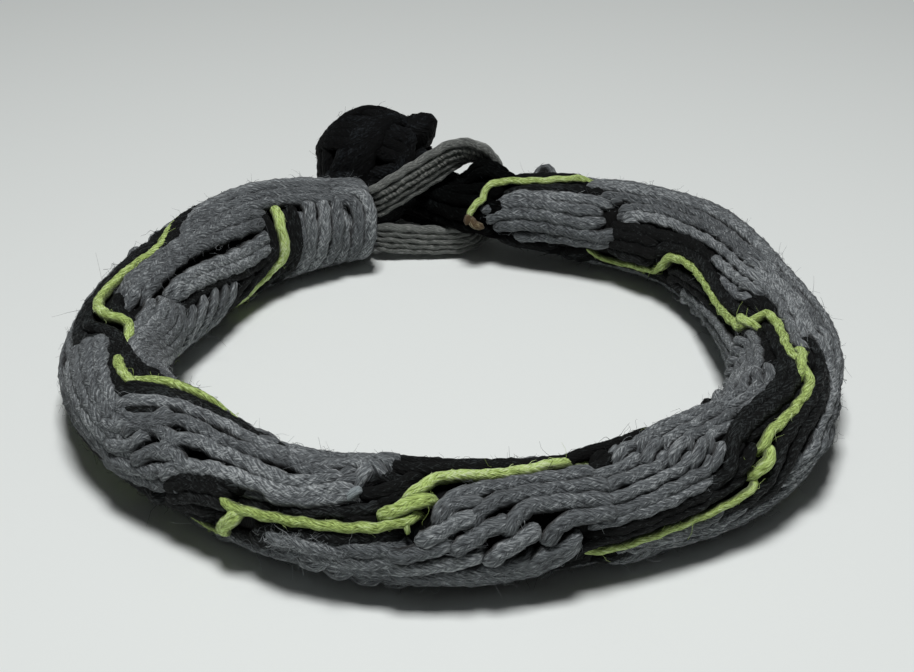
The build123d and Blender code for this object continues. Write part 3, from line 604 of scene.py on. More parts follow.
# The pale cut end and the frayed strand at the front
PALE_CHART = [(84, 57, -0.6), (84.2, 61, 0.5), (84.8, 67, 0.6), (85.2, 72, -0.5)]
PALE_SIZE = (0.48, 0.38)
FRAY_CHART = [(77.3, 0, -0.7), (78.4, 4, 0.2), (80.5, 5, 0.35), (83.5, 3, 0.1), (85.5, 2, -0.6)]

# Directions of the closure: along the loop, to the ring's outside, up
HEADING = np.array([np.cos(np.radians(LOOP_HEADING)), np.sin(np.radians(LOOP_HEADING)), 0.0])
OUTSIDE = np.array([-HEADING[1], HEADING[0], 0.0])
UP = np.array([0.0, 0.0, 1.0])
SIDE_FACING = -OUTSIDE * 0.6 + UP * 0.8


def unit(v):
    """v divided by its length, along the last axis."""
    return v / np.maximum(np.linalg.norm(v, axis=-1, keepdims=True), 1e-9)


def smooth(rows, steps=8):
    """Smooth line through rows of numbers.

    From b to c, with a before and d behind them and t from 0 to 1, it is b, plus t times half
    of c - a, plus t squared times a - 5b/2 + 2c - d/2, plus t cubed times half of -a + 3b - 3c + d.
    """
    rows = np.asarray(rows, float)
    i = np.arange(len(rows) - 1)
    a, b = rows[np.maximum(i - 1, 0), None], rows[:-1, None]
    c, d = rows[1:, None], rows[np.minimum(i + 2, len(rows) - 1), None]
    t = (np.arange(steps) / steps)[None, :, None]
    line = b + t * (c - a) / 2 + t ** 2 * (a - 2.5 * b + 2 * c - 0.5 * d)
    line = line + t ** 3 * (-a + 3 * b - 3 * c + d) / 2
    return np.vstack([line.reshape(-1, rows.shape[1]), rows[-1:]])


def length_along(points):
    """Distance of each point from the first, along the line."""
    steps = np.linalg.norm(np.diff(points, axis=0), axis=1)
    return np.concatenate([[0.0], np.cumsum(steps)])


def plan_line():
    """Middle line from above.

    The radius is RING_RADIUS times one plus every wave: its share times the cosine of its count
    times the bearing from its crest.
    """
    bearing = np.arange(LOOP_END_BEARING, LOOP_END_BEARING + 350.0, 0.5)
    radius = np.ones_like(bearing)
    for count, share, crest in PLAN_WAVES:
        radius = radius + share * np.cos(np.radians(count * (bearing - crest)))
    angle = np.radians(bearing)
    points = np.stack([np.cos(angle), np.sin(angle)], 1) * (RING_RADIUS * radius)[:, None]
    return points + np.array(MIDDLE_SHIFT)


MIDDLE = plan_line()
MIDDLE_LENGTH = length_along(MIDDLE)
MIDDLE_WAY = unit(np.gradient(MIDDLE, axis=0))


def columns(table, share):
    """Values of every column of a table at these shares, in straight lines between rows."""
    table = np.asarray(table, float)
    return [np.interp(share, table[:, 0], column) for column in table[:, 1:].T]


def along_middle(s):
    """Place and way of the middle line from above, at a distance from the loop end."""
    return [np.interp(s, MIDDLE_LENGTH, column) for column in (*MIDDLE.T, *MIDDLE_WAY.T)]


def section(charted):
    """Middle, outward direction and half thickness of the braid at a charted distance.

    The middle lies half the thickness high, less REST_PRESS, plus the lift that GIRTH gives.
    """
    s = np.asarray(charted, float) + CHART_START
    thick, lift = columns(GIRTH, s / BAND_LENGTH)
    half = thick * BAND_THICKNESS / 2
    x, y, way_x, way_y = along_middle(s)
    middle = np.stack([x, y, half - REST_PRESS + lift * BAND_THICKNESS], -1)
    outward = unit(np.stack([way_y, -way_x, np.zeros_like(way_x)], -1))
    return middle, outward, half


def on_band(places):
    """Points and outward normals of places on the braid.

    The normal is outward times the cosine of the turn plus up times its sine. The point is the
    middle plus the normal times the half thickness, the lift and the soft form, which is outer or
    inner times the cosine of the turn from the outer side, to the power of 1.5.
    """
    s, turn, lift = places[:, 0], np.radians(places[:, 1]), places[:, 2]
    middle, outward, half = section(s)
    outer_turn, outer, inner = columns(SOFT_FORM, s)
    c = np.cos(turn - np.radians(outer_turn))
    lift = lift + outer * np.maximum(c, 0) ** 1.5 + inner * np.maximum(-c, 0) ** 1.5
    normal = outward * np.cos(turn)[:, None] + UP * np.sin(turn)[:, None]
    return middle + normal * (half + lift)[:, None], normal


def tube(line, normals, wide, high, plied=True, shade=0.5):
    """Closed plied tube along a line, with rounded ends.

    A ring's point is the line's, plus upright times high times the cosine of its angle, plus
    across times wide times the sine, both times the relief. The relief is one plus PLY_DEPTH times
    the cosine of PLIES times the angle, which goes back one turn every PLY_PITCH along the line,
    and it falls off as a circle does over END_TAPER times high at both ends.
    """
    length = length_along(line)
    count = max(int(length[-1] / RING_PITCH), 4)
    at = np.linspace(0.0, length[-1], count + 1)

    def along(values):
        return np.stack([np.interp(at, length, column) for column in np.atleast_2d(values.T)], -1)

    middle = along(line)
    way = unit(np.gradient(middle, axis=0))
    across = unit(np.cross(way, along(normals)))
    upright = np.cross(across, way)
    phase = chance.uniform(0, 2 * np.pi, 4)
    waves = [share * np.sin(at * rate + p) for share, rate, p in zip(SWELL_SHARES, SWELL_RATES, phase)]
    swell = 1 + UNEVEN * (waves[0] + waves[1])
    middle = middle + across * (WAVER * np.sin(at * WAVER_RATE + phase[2]))[:, None]
    half_wide = along(np.broadcast_to(np.asarray(wide, float), length.shape)) * swell[:, None]
    half_high = along(np.broadcast_to(np.asarray(high, float), length.shape)) * (2 - swell)[:, None]
    end = np.minimum(np.minimum(at, at[-1] - at) / half_high[:, 0] / END_TAPER, 1.0)
    rounding = np.sqrt(np.maximum(1 - (1 - end) ** 2, END_BLUNT))[:, None]
    angle = np.pi + 2 * np.pi * np.arange(SIDES) / SIDES
    start = chance.uniform(0, PLY_PITCH)
    turn = angle[None, :] - 2 * np.pi * (at[:, None] + start) / PLY_PITCH
    relief = rounding * (1 + (PLY_DEPTH if plied else 0.0) * np.cos(PLIES * turn))
    points = (middle[:, None] + upright[:, None] * (half_high * relief * np.cos(angle))[..., None]
              + across[:, None] * (half_wide * relief * np.sin(angle))[..., None])
    return {"points": points, "length": at + start, "shade": shade}


def gather(name, tubes):
    """One mesh from many tubes: quads round each, an end face on both ends, and a UV map.

    The map's first value runs 0..AROUND round the strand, the second is millimetres along it.
    """
    points, corners, totals, maps, shades = [], [], [], [], []
    first = 0
    ring = np.arange(SIDES)
    following = (ring + 1) % SIDES
    for item in tubes:
        count = len(item["points"])
        points.append(item["points"].reshape(-1, 3))
        base = first + SIDES * np.arange(count - 1)[:, None]
        quads = np.stack([base + ring, base + following, base + SIDES + following, base + SIDES + ring], -1)
        corners.append(quads.reshape(-1))
        totals.append(np.full((count - 1) * SIDES, 4))
        u0 = np.broadcast_to(ring * AROUND / SIDES, (count - 1, SIDES))
        u1 = u0 + AROUND / SIDES
        v0 = np.broadcast_to(item["length"][:-1, None], u0.shape)
        v1 = np.broadcast_to(item["length"][1:, None], u0.shape)
        maps.append(np.stack([u0, v0, u1, v0, u1, v1, u0, v1], -1).reshape(-1, 2))
        for rim, end in ((ring[::-1], 0), (ring, count - 1)):
            corners.append(first + SIDES * end + rim)
            totals.append([SIDES])
            maps.append(np.stack([rim * AROUND / SIDES, np.full(SIDES, item["length"][end])], -1))
        shades.append(np.full(count * SIDES, item["shade"]))
        first += count * SIDES
    return make_mesh(name, np.vstack(points), np.concatenate(corners), np.concatenate(totals),
                     np.vstack(maps), np.concatenate(shades))


def make_mesh(name, points, corners, totals, maps, shades):
    """Blender mesh from arrays in millimetres, nothing of it below the table."""
    points = points.copy()
    points[:, 2] = np.maximum(points[:, 2], TABLE_GAP)
    mesh = bpy.data.meshes.new(name)
    mesh.vertices.add(len(points))
    mesh.vertices.foreach_set("co", (points * MILLIMETRE).astype(np.float32).reshape(-1))
    mesh.loops.add(len(corners))
    mesh.loops.foreach_set("vertex_index", corners.astype(np.int32))
    mesh.polygons.add(len(totals))
    starts = np.concatenate([[0], np.cumsum(totals)[:-1]])
    mesh.polygons.foreach_set("loop_start", starts.astype(np.int32))
    mesh.polygons.foreach_set("loop_total", np.asarray(totals, np.int32))
    mesh.uv_layers.new(name="strand_map").data.foreach_set("uv", maps.astype(np.float32).reshape(-1))
    shade = mesh.attributes.new("strand_shade", "FLOAT", "POINT")
    shade.data.foreach_set("value", shades.astype(np.float32))
    mesh.polygons.foreach_set("use_smooth", np.ones(len(totals), bool))
    mesh.update(calc_edges=True)
    mesh.validate()
    return mesh


def place(name, mesh, material, slot, *nodes):
    """Object of a finished mesh, riding on the one body and standing for its nodes."""
    mesh.materials.append(material)
    piece = bpy.data.objects.new(name, mesh)
    bpy.context.scene.collection.objects.link(piece)
    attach(piece, "root")
    if nodes:
        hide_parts(*nodes)


def lay(name, tubes, material, slot, node):
    """Piece made of tubes."""
    place(name, gather(name, tubes), material, slot, node)


def link(tree, source, target):
    """Link between two sockets."""
    tree.links.new(source, target)


def fibre_group():
    """Shared effect: colour, roughness and height of waxed plied cotton.

    The height is the sum of three noises, each times its share: plaited and fine fibres, which
    lean one way and the other in columns round the strand, and longer stray ones. The tone is the
    height plus Variation times what a slow noise and the strand's own shade add up to, less a
    half. It picks the colour from the dark colour over the middle one to the light one, which is
    partly the fibres' own lighter flecks and partly painted glints of the wax. Towards a strand's
    sides and underside the colour is painted darker by the shade input: painted shade, as if the
    grooves between strands lay in shade.
    """
    group = bpy.data.node_groups.new("waxed_fibres", "ShaderNodeTree")
    for way, kind, names in (("INPUT", "Color", ("Dark", "Middle", "Light")),
                             ("INPUT", "Float", ("PaintedShade", "Variation", "Wax")),
                             ("OUTPUT", "Color", ("Color",)),
                             ("OUTPUT", "Float", ("Roughness", "Height"))):
        for name in names:
            group.interface.new_socket(name=name, in_out=way, socket_type="NodeSocket" + kind)
    nodes = group.nodes
    given = nodes.new("NodeGroupInput")
    made = nodes.new("NodeGroupOutput")
    uv = nodes.new("ShaderNodeUVMap")
    uv.uv_map = "strand_map"
    split = nodes.new("ShaderNodeSeparateXYZ")
    link(group, uv.outputs["UV"], split.inputs["Vector"])

    def math(kind, *values, clamp=False):
        node = nodes.new("ShaderNodeMath")
        node.operation = kind
        node.use_clamp = clamp
        for socket, value in zip(node.inputs, values):
            if isinstance(value, (int, float)):
                socket.default_value = value
            else:
                link(group, value, socket)
        return node.outputs[0]

    def ranged(value, low, high, smoothed=False):
        node = nodes.new("ShaderNodeMapRange")
        node.interpolation_type = "SMOOTHSTEP" if smoothed else "LINEAR"
        node.inputs["From Min"].default_value = low
        node.inputs["From Max"].default_value = high
        link(group, value, node.inputs["Value"])
        return node.outputs["Result"]

    def fibres(source, lean, along, across, detail, share):
        turned = nodes.new("ShaderNodeMapping")
        turned.inputs["Rotation"].default_value = (0, 0, np.radians(lean))
        stretched = nodes.new("ShaderNodeMapping")
        stretched.inputs["Scale"].default_value = (across, along, 1)
        noise = nodes.new("ShaderNodeTexNoise")
        noise.inputs["Scale"].default_value = 1.0
        noise.inputs["Detail"].default_value = detail
        noise.inputs["Roughness"].default_value = PATTERN_ROUGHNESS
        link(group, source, turned.inputs["Vector"])
        link(group, turned.outputs["Vector"], stretched.inputs["Vector"])
        link(group, stretched.outputs["Vector"], noise.inputs["Vector"])
        return math("MULTIPLY", noise.outputs["Fac"], share)

    def mixed(factor, a, b):
        node = nodes.new("ShaderNodeMix")
        node.data_type = "RGBA"
        for socket, value in ((node.inputs["Factor"], factor), (node.inputs[6], a), (node.inputs[7], b)):
            link(group, value, socket)
        return node.outputs[2]

    column = AROUND / PATTERN_COLUMNS
    folded = nodes.new("ShaderNodeCombineXYZ")
    link(group, math("PINGPONG", split.outputs["X"], column), folded.inputs["X"])
    link(group, split.outputs["Y"], folded.inputs["Y"])
    number = math("FLOOR", math("DIVIDE", split.outputs["X"], column))
    link(group, math("MULTIPLY", number, COLUMN_SHIFT), folded.inputs["Z"])
    fibre = math("ADD", fibres(folded.outputs["Vector"], *PLAITED), fibres(folded.outputs["Vector"], *FINE))
    fibre = math("ADD", fibre, fibres(uv.outputs["UV"], *STRAY))
    place_texture = nodes.new("ShaderNodeTexCoord")
    slow = nodes.new("ShaderNodeTexNoise")
    slow.inputs["Scale"].default_value = SLOW_SCALE
    slow.inputs["Detail"].default_value = SLOW_DETAIL
    link(group, place_texture.outputs["Object"], slow.inputs["Vector"])
    strand = nodes.new("ShaderNodeAttribute")
    strand.attribute_name = "strand_shade"
    wander = math("ADD", math("MULTIPLY", slow.outputs["Fac"], SLOW_SHARE),
                  math("MULTIPLY", strand.outputs["Fac"], STRAND_SHARE))
    wander = math("MULTIPLY", math("SUBTRACT", wander, 0.5), given.outputs["Variation"])
    tone = math("ADD", fibre, wander)
    # the lightest tone is partly the fibres' own lighter flecks and partly painted glints of the wax
    fleck_and_glint = ranged(tone, *FLECK_AND_GLINT_TONES)
    body = mixed(ranged(tone, *MIDDLE_TONES), given.outputs["Dark"], given.outputs["Middle"])
    body = mixed(fleck_and_glint, body, given.outputs["Light"])
    # painted shade: the colour is darkened towards a strand's sides and underside, as if the grooves
    # between strands lay in shade
    round_strand = math("MULTIPLY", split.outputs["X"], 2 * np.pi / AROUND)
    facing = math("MULTIPLY", math("COSINE", round_strand), -1.0)
    painted_shade_part = math("SUBTRACT", 1.0, ranged(facing, *SHADE_PAINT_FACING, smoothed=True))
    kept = math("SUBTRACT", 1.0, math("MULTIPLY", painted_shade_part, given.outputs["PaintedShade"]))
    painted_shade_colour = nodes.new("ShaderNodeVectorMath")
    painted_shade_colour.operation = "SCALE"
    link(group, body, painted_shade_colour.inputs[0])
    link(group, kept, painted_shade_colour.inputs["Scale"])
    link(group, painted_shade_colour.outputs["Vector"], made.inputs["Color"])
    waxed = math("SUBTRACT", DULLEST, math("MULTIPLY", fleck_and_glint, given.outputs["Wax"]), clamp=True)
    link(group, waxed, made.inputs["Roughness"])
    link(group, fibre, made.inputs["Height"])
    return group


FIBRES = fibre_group()


def waxed_cord(name, dark, middle, light, shade=0.9, variation=0.2, sheen=0.1, gloss=0.3):
    """Material of waxed cotton cord with its own three tones; shade is how strongly painted shade darkens
    its strands' sides.
    """
    material = bpy.data.materials.new(name)
    material.use_nodes = True
    tree = material.node_tree
    shader = tree.nodes["Principled BSDF"]
    fibres = tree.nodes.new("ShaderNodeGroup")
    fibres.node_tree = FIBRES
    for socket, tone in (("Dark", dark), ("Middle", middle), ("Light", light)):
        fibres.inputs[socket].default_value = (*tone, 1)
    fibres.inputs["PaintedShade"].default_value = shade
    fibres.inputs["Variation"].default_value = variation
    fibres.inputs["Wax"].default_value = WAX
    relief = tree.nodes.new("ShaderNodeBump")
    relief.inputs["Strength"].default_value = BUMP_STRENGTH
    relief.inputs["Distance"].default_value = BUMP_DISTANCE
    link(tree, fibres.outputs["Color"], shader.inputs["Base Color"])
    link(tree, fibres.outputs["Roughness"], shader.inputs["Roughness"])
    link(tree, fibres.outputs["Height"], relief.inputs["Height"])
    link(tree, relief.outputs["Normal"], shader.inputs["Normal"])
    shader.inputs["Specular IOR Level"].default_value = gloss
    shader.inputs["Sheen Weight"].default_value = sheen
    shader.inputs["Sheen Roughness"].default_value = SHEEN_ROUGHNESS
    return material


# Each cord's light tone is partly its own lighter fibres and partly painted glints of the wax, and shade
# sets how dark the painted shade at its strands' sides is
GREY = waxed_cord("grey_waxed_cord", (0.035, 0.039, 0.043), (0.160, 0.176, 0.185), (0.50, 0.53, 0.54))
BLACK = waxed_cord("black_waxed_cord", (0.0006, 0.0008, 0.0008), (0.0016, 0.0022, 0.0023),
                   (0.040, 0.047, 0.048), sheen=0.0, gloss=0.22)
LIME = waxed_cord("lime_waxed_cord", (0.16, 0.225, 0.035), (0.61, 0.80, 0.245), (0.88, 1.0, 0.62),
                  shade=0.7)
PALE = waxed_cord("pale_cord_end", (0.17, 0.20, 0.21), (0.40, 0.46, 0.48), (0.80, 0.86, 0.88), shade=0.5)
BURNT = waxed_cord("burnt_cord_end", (0.10, 0.06, 0.025), (0.50, 0.43, 0.25), (0.90, 0.86, 0.66),
                   shade=0.4, variation=0.9)
LOOP = waxed_cord("loop_cord", (0.13, 0.14, 0.13), (0.34, 0.36, 0.335), (0.70, 0.72, 0.68), shade=0.5)
# The neck's cords are the braid's black cord painted darker: painted shade, for the deep shade inside the
# loop
NECK_SHADED = waxed_cord("neck_cord_shaded", (0.0003, 0.0004, 0.0004), (0.0009, 0.0012, 0.0012),
                  (0.008, 0.010, 0.010), sheen=0.0, gloss=0.05)
# The stitches' cord is the loop's, painted lighter: painted highlight, for the ladder of glints along the
# loop
STITCH_GLINT = waxed_cord("loop_stitch_glint", (0.20, 0.21, 0.19), (0.46, 0.48, 0.44), (0.78, 0.80, 0.74), shade=0.4)
KNOT = waxed_cord("knot_cord", (0.0007, 0.0008, 0.0010), (0.0022, 0.0027, 0.0031),
                  (0.018, 0.022, 0.026), variation=0.3, sheen=0.0, gloss=0.14)

KINDS = {"grey": GREY, "black": BLACK, "lime": LIME, "knot": KNOT}


def twist(mid, height):
    """Places of a strand on its way from one float up to the next, round its bed.

    It rises height degrees about mid while a phase goes round TWIST_TURNS times. It lies the swing
    times the sine of the phase further along, TWIST_LEAN times that sine further up the section,
    and TWIST_RADIUS times its cosine less TWIST_SINK high, and starts and ends at no height.
    """
    t = np.linspace(0.0, 1.0, TWIST_KNOTS * TWIST_TURNS + 1)
    phase = 2 * np.pi * TWIST_TURNS * t
    swing = TWIST_SWING * chance.uniform(*SWING_RANGE)
    s = mid[0] + (t - 0.5) * TWIST_LENGTH + swing * np.sin(phase)
    turn = mid[1] + (t - 0.5) * height + TWIST_LEAN * np.sin(phase)
    lift = TWIST_RADIUS * np.cos(phase) - TWIST_SINK
    ends = np.minimum(1.0, TWIST_EASE * np.minimum(t, 1 - t))
    return np.stack([s, turn, np.where(lift > 0, lift * ends, lift)], 1)


def wrapped(turn):
    """Turn brought between -90 and 270 degrees."""
    return (turn + 90) % 360 - 90


def spans(k):
    """Colour of the braid's kth cord, its twists as distance and turn, its mean line and pitch.

    The mean line is the lime cord's below plus the cord's share of the way to the next lime cord,
    and the twists are where it crosses the rows of twists.
    """
    stripe, part = divmod(k, len(STRIPE))
    share, kind = STRIPE[part]
    s = np.arange(CHART_FIRST, CHART_LAST, CHART_STEP)
    limes = columns(LIME_MEANS, s)
    limes.append(limes[0] + 360)
    turn = limes[stripe] + share * (limes[stripe + 1] - limes[stripe])
    seen = wrapped(turn)
    found = []
    for row in TWIST_ROWS:
        row = np.asarray(row, float)[::-1]
        ahead = s - np.interp(seen, row[:, 1], row[:, 0], left=np.nan, right=np.nan)
        crossed = (ahead[:-1] < 0) & (ahead[1:] >= 0) & (np.abs(np.diff(seen)) < 90)
        for i in np.flatnonzero(crossed):
            t = -ahead[i] / (ahead[i + 1] - ahead[i])
            found.append((s[i] + t * CHART_STEP, turn[i] + t * (turn[i + 1] - turn[i])))
    kept = []
    for mid in sorted(found):
        if not kept or mid[0] - kept[-1][0] > TWIST_SPACING:
            kept.append(mid)
    pitch = (limes[stripe + 1] - limes[stripe]) / len(STRIPE)
    return kind, kept, (s, turn), pitch


def led_down(level, places):
    """Places at one level, with a further place at both ends, END_REACH on and END_DROP lower."""
    rows = np.column_stack([np.asarray(places, float), np.full(len(places), level)])
    ends = []
    for end, before in ((rows[0], rows[1]), (rows[-1], rows[-2])):
        step = end - before
        apart = np.hypot(step[0], np.radians(step[1]) * BAND_THICKNESS / 2)
        ends.append(end + step * END_REACH / apart - [0, 0, END_DROP])
    return np.vstack([ends[0], rows, ends[1]])


def in_zone(places):
    """Whether places lie in a zone that is charted."""
    s, turn = places[..., 0], wrapped(places[..., 1])
    inside = np.zeros(s.shape, bool)
    for s0, s1, turn0, turn1 in CHARTED_ZONES:
        inside |= (turn > turn0) & (turn < turn1) & (s > s0) & (s < s1)
    return inside


def upper_places():
    """Places of the charted cords that lie over the others, where they show, as one array."""
    over = [rows for *_, rows in LIME_CHART + OVER_CHART if not in_zone(np.asarray(rows)[len(rows) // 2])]
    over += [led_down(level, rows) for kind, _, level, rows in FRONT_CHART if kind == "black"]
    dense = np.vstack([smooth(rows) for rows in over])
    return dense[dense[:, 2] > SHOWN_LIFT]


UPPER_PLACES = upper_places()


def dip(places):
    """How far a strand drops to pass under the nearest cord that lies over it.

    It is CLEAR_DIP times e to the power of minus the square of the way between them, counted in
    CLEAR_ALONG along the band and in CLEAR_TURN round it, and the largest is taken.
    """
    along = (places[:, 0, None] - UPPER_PLACES[None, :, 0]) / CLEAR_ALONG
    turned = (places[:, 1, None] - UPPER_PLACES[None, :, 1] + 180) % 360 - 180
    near = np.exp(-along ** 2 - (turned / CLEAR_TURN) ** 2)
    return CLEAR_DIP * near.max(axis=1)


def charted_strand(rows, wide=STRAND_WIDTH, high=STRAND_HEIGHT):
    """Tube along charted places."""
    places = smooth(rows)
    places[:, 2] -= STRAND_DEPTH
    line, normals = on_band(places)
    return tube(line, normals, wide, high, shade=chance.uniform(0, 1))


def cord_places(stops, heights):
    """Places of one whole cord: floats in straight lines between its twists, a little uneven.

    A float's lift is FLOAT_BOW times 4t times 1 - t, plus a random part.
    """
    places = [[[*stops[0], 0.0]]]
    for i in range(len(stops) - 1):
        low, high = stops[i], stops[i + 1]
        if i > 0:
            low = (low[0] + TWIST_LENGTH / 2, low[1] + heights[i - 1] / 2)
        if i < len(stops) - 2:
            high = (high[0] - TWIST_LENGTH / 2, high[1] - heights[i] / 2)
        t = np.linspace(0.0, 1.0, 6)[1:-1] if high[0] - low[0] > FLOAT_SHORT else np.array([0.5])
        bow = 4 * t * (1 - t)
        lift = FLOAT_BOW * bow + chance.normal(0, FLOAT_LIFT, len(t))
        turn = low[1] + (high[1] - low[1]) * t + chance.normal(0, FLOAT_TURN, len(t))
        places.append(np.stack([low[0] + (high[0] - low[0]) * t, turn, lift], 1))
        if i < len(stops) - 2:
            places.append(twist(stops[i + 1], heights[i]))
    places.append([[*stops[-1], 0.0]])
    return smooth(np.vstack(places), 6)


def runs(kept):
    """First number of every stretch of True, and the number that follows its last."""
    edges = np.flatnonzero(np.diff(np.concatenate([[0], kept.astype(int), [0]])))
    return list(zip(edges[::2], edges[1::2]))


def worked_out_strands(k):
    """Colour of the braid's kth cord and its tubes outside the charted zones.

    A twist's height is TWIST_CLIMB times the mean climb times the nearer float. Half the width is
    half the arc of the cord's pitch, STRAND_DEPTH below the surface, times BED_FILL. Beside a zone
    the strand drops by ZONE_DROP times e to the power of minus its points from the end.
    """
    kind, mids, (s, turn), pitch = spans(k)
    if kind == "lime":
        return kind, []
    stops = [(CHART_FIRST, turn[0])] + mids + [(CHART_LAST, turn[-1])]
    heights = []
    for before, stop, after in zip(stops, stops[1:], stops[2:]):
        climb = (after[1] - before[1]) / (after[0] - before[0])
        near = min(after[0] - stop[0], stop[0] - before[0], TWIST_NEAR)
        height = np.clip(TWIST_CLIMB * climb * near, *TWIST_HEIGHTS)
        heights.append(height * chance.uniform(*HEIGHT_RANGE))
    places = cord_places(stops, heights)
    places[:, 0] = np.clip(places[:, 0], CHART_FIRST, CHART_LAST)
    charted = in_zone(places + [chance.uniform(-ZONE_UNEVEN, ZONE_UNEVEN), 0, 0])
    places[:, 2] -= STRAND_DEPTH + SINK[kind] + dip(places)
    half = section(places[:, 0])[2]
    wide = np.radians(np.interp(places[:, 0], s, pitch)) * (half - STRAND_DEPTH) / 2 * BED_FILL
    wide = np.clip(wide, *BED_WIDTHS) * chance.uniform(*WIDTH_RANGE)
    tubes = []
    for first, last in runs(~charted):
        if last - first < SHORTEST_RUN:
            continue
        part = places[first:last].copy()
        step = np.arange(last - first)
        if first > 0:
            part[:, 2] -= ZONE_DROP * np.exp(-step / ZONE_EASE)
        if last < len(places):
            part[:, 2] -= ZONE_DROP * np.exp(-step[::-1] / ZONE_EASE)
        line, normals = on_band(part)
        shade = chance.uniform(0, 1)
        tubes.append(tube(line, normals, wide[first:last], STRAND_HEIGHT, shade=shade))
    return kind, tubes


def braid_strands():
    """Every strand of the braid by its colour: the worked-out ones, then the charted ones."""
    strands = {"grey": [], "black": [], "lime": []}
    for k in range(3 * len(STRIPE)):
        kind, tubes = worked_out_strands(k)
        strands[kind] += tubes
    for kind, rows in END_CHART:
        strands[kind].append(charted_strand(rows, GREY_WIDTH if kind == "grey" else STRAND_WIDTH))
    for wide, rows in LIME_CHART:
        strands["lime"].append(charted_strand(rows, wide, min(wide, LIME_HEIGHT)))
    for kind, wide, rows in OVER_CHART:
        strands[kind].append(charted_strand(rows, wide, min(wide, STRAND_HEIGHT)))
    for kind, wide, level, rows in FRONT_CHART:
        strands[kind].append(charted_strand(led_down(level, rows), wide, min(wide, STRAND_HEIGHT)))
    return strands


def closure_point(along, outwards, up):
    """The loop end, plus HEADING times along, plus OUTSIDE times outwards, plus UP times up."""
    along, outwards, up = (np.asarray(value, float)[..., None] for value in (along, outwards, up))
    start = np.array([*MIDDLE[0], 0.0])
    return start + HEADING * along + OUTSIDE * outwards + UP * up


def loop_cords():
    """The flat loop's plied cords side by side across its width, and the stitches along it.

    A rib is the middle line moved across the flat cord, a little less on the lower run. A stitch
    is an arch across its rib, STITCH_HEIGHT high less STITCH_ARCH times its way out squared.
    """
    rows = smooth([(a * LOOP_REACH, b * LOOP_REACH, c * LOOP_RISE, turn) for a, b, c, turn in LOOP_PATH])
    line = closure_point(rows[:, 0], rows[:, 1], rows[:, 2])
    length = length_along(line)
    way = unit(np.gradient(line, axis=0))
    way[0], way[-1] = HEADING, -HEADING
    across = unit(OUTSIDE - way * (way @ OUTSIDE)[:, None])
    upright = np.cross(across, way)
    turn = np.radians(rows[:, 3])[:, None]
    wide = upright * np.cos(turn) + across * np.sin(turn)
    thin = np.cross(way, wide)
    pitch = LOOP_WIDTH / LOOP_RIBS
    lower = np.clip((length - LOWER_START) / LOWER_EASE, 0, 1)[:, None]
    t = np.linspace(-1, 1, 5)[:, None]
    ribs, stitches = [], []
    for i in range(LOOP_RIBS):
        side = (i - (LOOP_RIBS - 1) / 2) * pitch
        high = LOOP_THICKNESS / 2 * (1 - RIB_FLATTEN * (abs(side) / LOOP_WIDTH))
        centre = line + wide * side * (1 - LOWER_NARROW * lower) + UP * LOWER_LIFT * lower
        ribs.append(tube(centre, thin, pitch * RIB_WIDTH, high, shade=chance.uniform(*RIB_SHADES)))
        if i not in STITCHED_RIBS:
            continue
        reaches = np.arange(STITCH_START, length[-1] * STITCH_END, STITCH_PITCH)
        reaches = reaches + chance.uniform(-STITCH_UNEVEN, STITCH_UNEVEN, len(reaches))
        for at in np.searchsorted(length, reaches):
            arch = thin[at] * (STITCH_HEIGHT - STITCH_ARCH * t ** 2)
            stitch = centre[at] + wide[at] * STITCH_REACH * t - arch + way[at] * STITCH_LEAN * t
            normals = np.broadcast_to(thin[at], stitch.shape)
            # stitches take the lightest tone of their cord: painted highlight
            stitches.append(tube(stitch, normals, *STITCH_SIZE, plied=False, shade=1.0))
    return ribs, stitches


def wrap_cords():
    """The whipping: turns of cord round the braid's loop end, low where strands lie over them.

    There they sink by COVERED_SINK times e to the power of minus the fourth power of the turn
    from COVERED_TURN, counted in COVERED_WIDTH.
    """
    turn = np.arange(*WRAP_ROUND)
    sink = COVERED_SINK * np.exp(-((turn - COVERED_TURN) / COVERED_WIDTH) ** 4)
    cords = []
    for s, lift in WRAP_ROWS:
        places = np.stack([CHART_FIRST + s + WRAP_LEAN * (turn - 90), turn, lift - STRAND_DEPTH - sink], 1)
        line, normals = on_band(places)
        cords.append(tube(line, normals, WRAP_WIDTH, STRAND_HEIGHT, shade=chance.uniform(0, 1)))
    return cords + [charted_strand(rows, GREY_WIDTH) for rows in WRAP_CHART]


def end_face():
    """Cut ends of the strands inside the whipping, packed in rings on the braid's end face.

    Each is the middle plus outward and up times the ring's radius and the angle's cosine and sine.
    """
    middle, outward, _ = section(np.array([CHART_FIRST]))
    cords = []
    for radius, count in END_RINGS:
        for angle in 2 * np.pi * np.arange(count) / count:
            at = middle[0] + outward[0] * radius * np.cos(angle) + UP * radius * np.sin(angle)
            tip = END_PROUD + chance.uniform(0, END_PROUD)
            line = at + HEADING * np.linspace(-END_INSIDE, tip, 6)[:, None]
            normals = np.broadcast_to(UP, line.shape)
            cords.append(tube(line, normals, END_SIZE, END_SIZE, shade=chance.uniform(0, 1)))
    return cords


